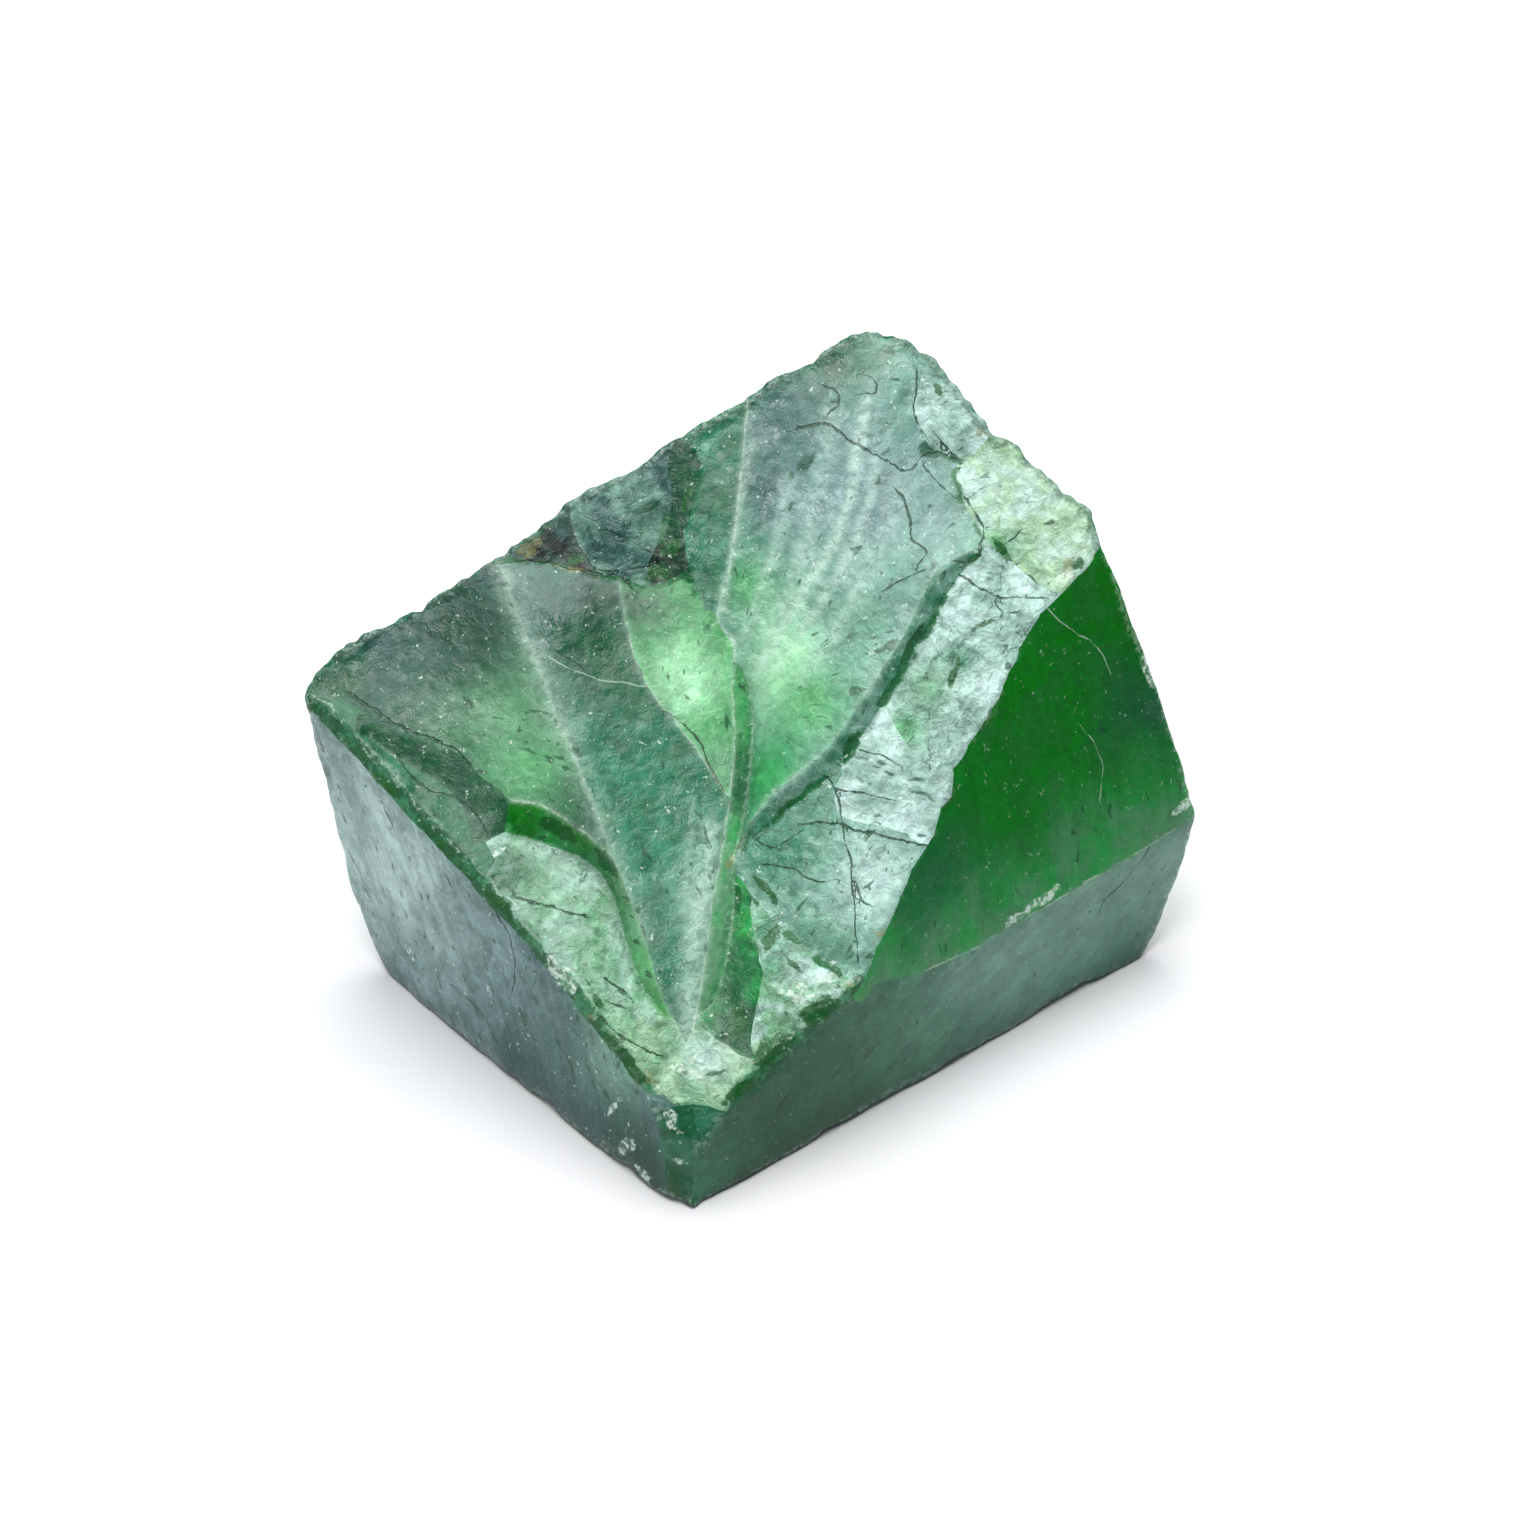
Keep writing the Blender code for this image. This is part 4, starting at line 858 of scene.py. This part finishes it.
# Streaks: fine lines along the grain, between 0 and 1.
streaks, taken, given = group("Streaks", {"Flow": "Vector", "Pitch": "Float", "Length": "Float"},
                              "Value")
x, y, z = node("SeparateXYZ", {0: taken["Flow"]})
placed = node("CombineXYZ", {0: calc("DIVIDE", x, taken["Length"]),
                             1: calc("DIVIDE", y, taken["Pitch"]), 2: z})[0]
lines = haze(placed, 1.0, detail=3.0, roughness=0.6, distortion=0.4)
streaks.links.new(ramp(lines, 0.32, 0.68), given)

# Hairline: a thin line along a stored crack, which noise makes crooked and uneven in width.
THINNEST, WIDEST = 0.4, 1.7    # in half widths
CROOKED, LINE_EDGE = 4.5, 1.4    # how far it strays, in half widths, and how crisp its edge is
LINE_REACH = 0.34    # mm, nothing is drawn further off
hairline, taken, given = group("Hairline", {"Line": "Float", "Gap": "Float", "Vector": "Vector"},
                               "Mask")
width = ramp(haze(taken["Vector"], 900.0), 0.32, 0.62, THINNEST, WIDEST)
crooked = times(calc("SUBTRACT", haze(taken["Vector"], 2600.0, detail=3.0), 0.5), CROOKED)
near = calc("SUBTRACT", width, calc("ABSOLUTE", plus(taken["Line"], crooked)))
near = times(near, LINE_EDGE, clamp=True)
hairline.links.new(times(near, calc("LESS_THAN", taken["Gap"], LINE_REACH)), given)

# Blot: an oval or a band stored as a depth, with an edge as torn as Ragged says.
blot, taken, given = group("Blot", {"Depth": "Float", "Vector": "Vector", "Ragged": "Float"},
                           "Mask")
torn = calc("SUBTRACT", haze(taken["Vector"], 1100.0, detail=3.0, roughness=0.6), 0.5)
torn = plus(taken["Depth"], times(torn, taken["Ragged"]))
blot.links.new(ramp(torn, 0.0, 0.28), given)

emerald = bpy.data.materials.new("emerald")
emerald.use_nodes = True
tree = emerald.node_tree
shader = tree.nodes["Principled BSDF"].inputs
place = tree.nodes.new("ShaderNodeTexCoord").outputs["Object"]


def stored(name, gives="Fac"):
    """What the mesh stores under a name."""
    made = tree.nodes.new("ShaderNodeAttribute")
    made.attribute_name = name
    return made.outputs[gives]


def blotted(name, ragged):
    """The mask of the ovals or the band stored under a name."""
    return use(blot, Depth=stored(name), Vector=place, Ragged=ragged)


def cracked(name):
    """The mask of the cracks stored under a name."""
    return use(hairline, Line=stored(name), Gap=stored(name + "_gap"), Vector=place)


def lay(below, above, mask, strength=1.0):
    """Lays one colour over another where the mask is."""
    share = mask if strength == 1.0 else times(mask, strength)
    return node("Mix", {0: share, 6: below, 7: above}, data_type="RGBA")[2]


# The patches' own tints, clouded over, with streaks and wrinkles in them.
STREAK_MEAN, STREAK_CONTRAST = 0.8, 0.34
WRINKLE_CONTRAST, RUGGED_CONTRAST = 0.11, 0.20    # on a smooth skin, and added on a rugged one
MILK = (0.46, 0.66, 0.54, 1.0)
grain = stored("flow", "Vector")
roughness, flecked, streaked = node("SeparateColor", {0: stored("look", "Color")})
rugged = stored("rugged")
clouds = haze(place, 340.0, detail=4.0, roughness=0.6, distortion=0.5)
cloudy = times(ramp(clouds, 0.38, 0.62), stored("look", "Alpha"))
colour = lay(stored("tone", "Color"), stored("clouded", "Color"), cloudy)
wrinkles = haze(place, 1250.0, detail=4.0, roughness=0.7, distortion=0.8)
wrinkles = ramp(wrinkles, 0.32, 0.68, -1.0, 1.0)
fine = use(streaks, Flow=grain, Pitch=0.30, Length=2.4)
wide = use(streaks, Flow=grain, Pitch=1.1, Length=12.0)
bands = calc("SUBTRACT", plus(times(fine, 0.3), times(wide, 1.3)), STREAK_MEAN)
bands = times(times(bands, streaked), STREAK_CONTRAST)
contrast = calc("MULTIPLY_ADD", rugged, RUGGED_CONTRAST, WRINKLE_CONTRAST)
shift = plus(bands, times(wrinkles, contrast))
colour = vector_calc("SCALE", colour, plus(1.0, shift))
milky = times(stored("streak"), ramp(wrinkles, -0.9, 0.5, 0.45, 1.0))
colour = lay(colour, MILK, milky)

# Parted creases, the glassy flaked rims, the clear windows, and painted shade along the rims at the
# back, where the skin curves away from the light.
GAP_GREEN, WINDOW_GREEN = (0.004, 0.12, 0.03, 1.0), (0.002, 0.085, 0.010, 1.0)
GLASSY_DARK, GLASSY_PALE = (0.003, 0.08, 0.02, 1.0), (0.03, 0.19, 0.08, 1.0)
RIM_SHADE_GREEN = (0.035, 0.09, 0.06, 1.0)
parted = times(stored("dark_crease"), ramp(clouds, 0.43, 0.55))
colour = lay(colour, GAP_GREEN, ramp(parted, 0.12, 0.55))
lumps = haze(place, 780.0, detail=3.0, roughness=0.65)
glassy = lay(GLASSY_DARK, GLASSY_PALE, ramp(lumps, 0.48, 0.62))
colour = lay(colour, glassy, blotted("flaked", ragged=2.0), strength=0.9)
colour = lay(colour, WINDOW_GREEN, blotted("window", ragged=1.6), strength=0.9)
colour = lay(colour, RIM_SHADE_GREEN, blotted("back_rim_shade", ragged=1.8), strength=0.55)

# Dark flecks and cracks, fine seams along the grain of rugged skins, and painted shade in the depths
# of hollows.
FLECK_GREEN, CRACK_GREEN = (0.010, 0.07, 0.03, 1.0), (0.008, 0.05, 0.02, 1.0)
SEAM_GREEN, HOLLOW_SHADE_GREEN = (0.01, 0.07, 0.03, 1.0), (0.02, 0.12, 0.05, 1.0)
small = use(flecks, Flow=grain, Cell=0.46, Stretch=2.2, Amount=times(flecked, 0.8))
large = use(flecks, Flow=grain, Cell=0.85, Stretch=3.0, Amount=times(flecked, 0.4))
colour = lay(colour, FLECK_GREEN, calc("MAXIMUM", times(small, 0.75), times(large, 0.8)))
crack = cracked("crack")
colour = lay(colour, CRACK_GREEN, crack, strength=0.9)
warp = haze(place, 700.0, detail=3.0, gives="Color")
cells = vector_calc("ADD", vector_calc("MULTIPLY", grain, (0.17, 0.45, 1.0)),
                    vector_calc("MULTIPLY", warp, (1.3, 1.3, 0.0)))
seams = node("TexVoronoi", {"Vector": cells, "Scale": 1.0}, feature="DISTANCE_TO_EDGE")["Distance"]
seams = times(ramp(seams, 0.026, 0.008), ramp(clouds, 0.54, 0.62))
colour = lay(colour, SEAM_GREEN, times(seams, ramp(rugged, 0.25, 0.6)), strength=0.7)
colour = lay(colour, HOLLOW_SHADE_GREEN, ramp(stored("sunk"), 0.25, 1.0), strength=0.5)

# Ochre stains, and over them all that is pale: creases and edges that are partly worn and partly
# painted highlight, chips, scratches, and specks painted as glints.
OCHRE, WEAR_AND_HIGHLIGHT_WHITE = (0.25, 0.23, 0.07, 1.0), (0.62, 0.76, 0.66, 1.0)
stain = times(blotted("stain", ragged=2.4), ramp(lumps, 0.40, 0.60))
colour = lay(colour, OCHRE, stain, strength=0.55)
specks = haze(place, 2300.0, roughness=0.7)
crest = stored("worn_and_lit_crease")
ridge = times(ramp(crest, 0.45, 0.85), ramp(specks, 0.36, 0.56))
ridge = plus(times(ridge, 0.6), times(crest, 0.35))
brink = plus(stored("flaked"), times(calc("SUBTRACT", lumps, 0.5), 1.3))
brink = times(ramp(calc("ABSOLUTE", brink), 0.14, 0.0), ramp(specks, 0.44, 0.62, 0.0, 0.55))
edge = times(ramp(stored("worn"), 0.35, 1.0), ramp(specks, 0.44, 0.62))
chip = times(blotted("chip", ragged=2.2), ramp(specks, 0.42, 0.6, 0.1, 0.85))
# Sparkle: sparse pale specks painted as glints of light.
sparkle = times(ramp(specks, 0.65, 0.74), times(flecked, 0.8))
pale = times(cracked("pale_crack"), 0.38)
for mark in (times(calc("MAXIMUM", ridge, brink), 0.75), times(edge, 0.24), chip, sparkle):
    pale = calc("MAXIMUM", pale, mark)
colour = lay(colour, WEAR_AND_HIGHLIGHT_WHITE, pale)
tree.links.new(colour, shader["Base Color"])

# Gloss, duller where the skin is pale, and light scattered a little way under it.
rough = plus(plus(roughness, times(pale, 0.25)), ramp(clouds, 0.40, 0.62, -0.06, 0.10))
tree.links.new(rough, shader["Roughness"])
shader["Subsurface Weight"].default_value = 0.15
shader["Subsurface Radius"].default_value = (0.3, 1.0, 0.5)
shader["Subsurface Scale"].default_value = 0.0012
shader["IOR"].default_value = 1.57
shader["Specular IOR Level"].default_value = 0.31

# The finest scoops, swells and wrinkles, with cracks sunk into them.
WARP, BUMP_DEPTH = 0.0011, 0.00014    # m
warped = vector_calc("ADD", place, vector_calc("SCALE", warp, WARP))
scoops = node("TexVoronoi", {"Vector": warped, "Scale": 900.0})["Distance"]
bumps = plus(times(scoops, 0.7), times(haze(warped, 420.0), 1.6))
bumps = plus(bumps, times(wrinkles, 0.22))
bumps = times(bumps, calc("MULTIPLY_ADD", rugged, 0.84, 0.16))
bumps = calc("SUBTRACT", bumps, times(crack, 0.8))
bump = node("Bump", {"Height": bumps, "Strength": 1.0, "Distance": BUMP_DEPTH})
tree.links.new(bump["Normal"], shader["Normal"])
mesh.materials.append(emerald)
mesh.shade_smooth()

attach(stone, "root")
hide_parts(NODE)

# ==== The ground, light and camera ================================================================
# A plain white sheet under one wide soft light overhead and behind, a small one that gives the pale
# patches their sheen, a weak one from the left, and an even dim light from all round.
bpy.ops.mesh.primitive_plane_add(size=4.0, location=(0.0, 0.0, 0.0))
ground = bpy.context.active_object
ground.name = "ground"
paper = bpy.data.materials.new("paper")
paper.use_nodes = True
dull = paper.node_tree.nodes["Principled BSDF"].inputs
dull["Base Color"].default_value = (0.71, 0.71, 0.72, 1.0)
dull["Roughness"].default_value = 0.9
dull["Specular IOR Level"].default_value = 0.0
ground.data.materials.append(paper)


def soft_light(name, place, size, watts, aim=(0.0, 0.0, 0.0)):
    """A round soft lamp at a place, aimed at a point."""
    light = bpy.data.lights.new(name, "AREA")
    light.shape = "DISK"
    light.size = size
    light.energy = watts
    lamp = bpy.data.objects.new(name, light)
    lamp.location = place
    lamp.rotation_euler = (Vector(aim) - Vector(place)).to_track_quat("-Z", "Y").to_euler()
    bpy.context.scene.collection.objects.link(lamp)


soft_light("overhead", place=(0.17, 0.25, 0.78), size=0.9, watts=11.4)
soft_light("sheen", place=(-0.16, -0.10, 0.77), size=0.24, watts=1.8)
soft_light("left", place=(-0.70, 0.10, 0.45), size=0.5, watts=1.0, aim=(0.0, 0.0, 0.02))

world = bpy.data.worlds.new("room")
bpy.context.scene.world = world
world.use_nodes = True
backdrop = world.node_tree.nodes["Background"]
backdrop.inputs["Color"].default_value = (0.82, 0.90, 1.0, 1.0)
backdrop.inputs["Strength"].default_value = 0.17

bpy.context.scene.view_settings.view_transform = "Standard"

lens = bpy.data.cameras.new("camera")
lens.lens = 85.0
lens.sensor_width = 36.0
camera = bpy.data.objects.new("camera", lens)
camera.location = (-0.1191, -0.1506, 0.1778)
camera.rotation_euler = (math.radians(50.0), 0.0, math.radians(-38.0))
bpy.context.scene.collection.objects.link(camera)
bpy.context.scene.camera = camera
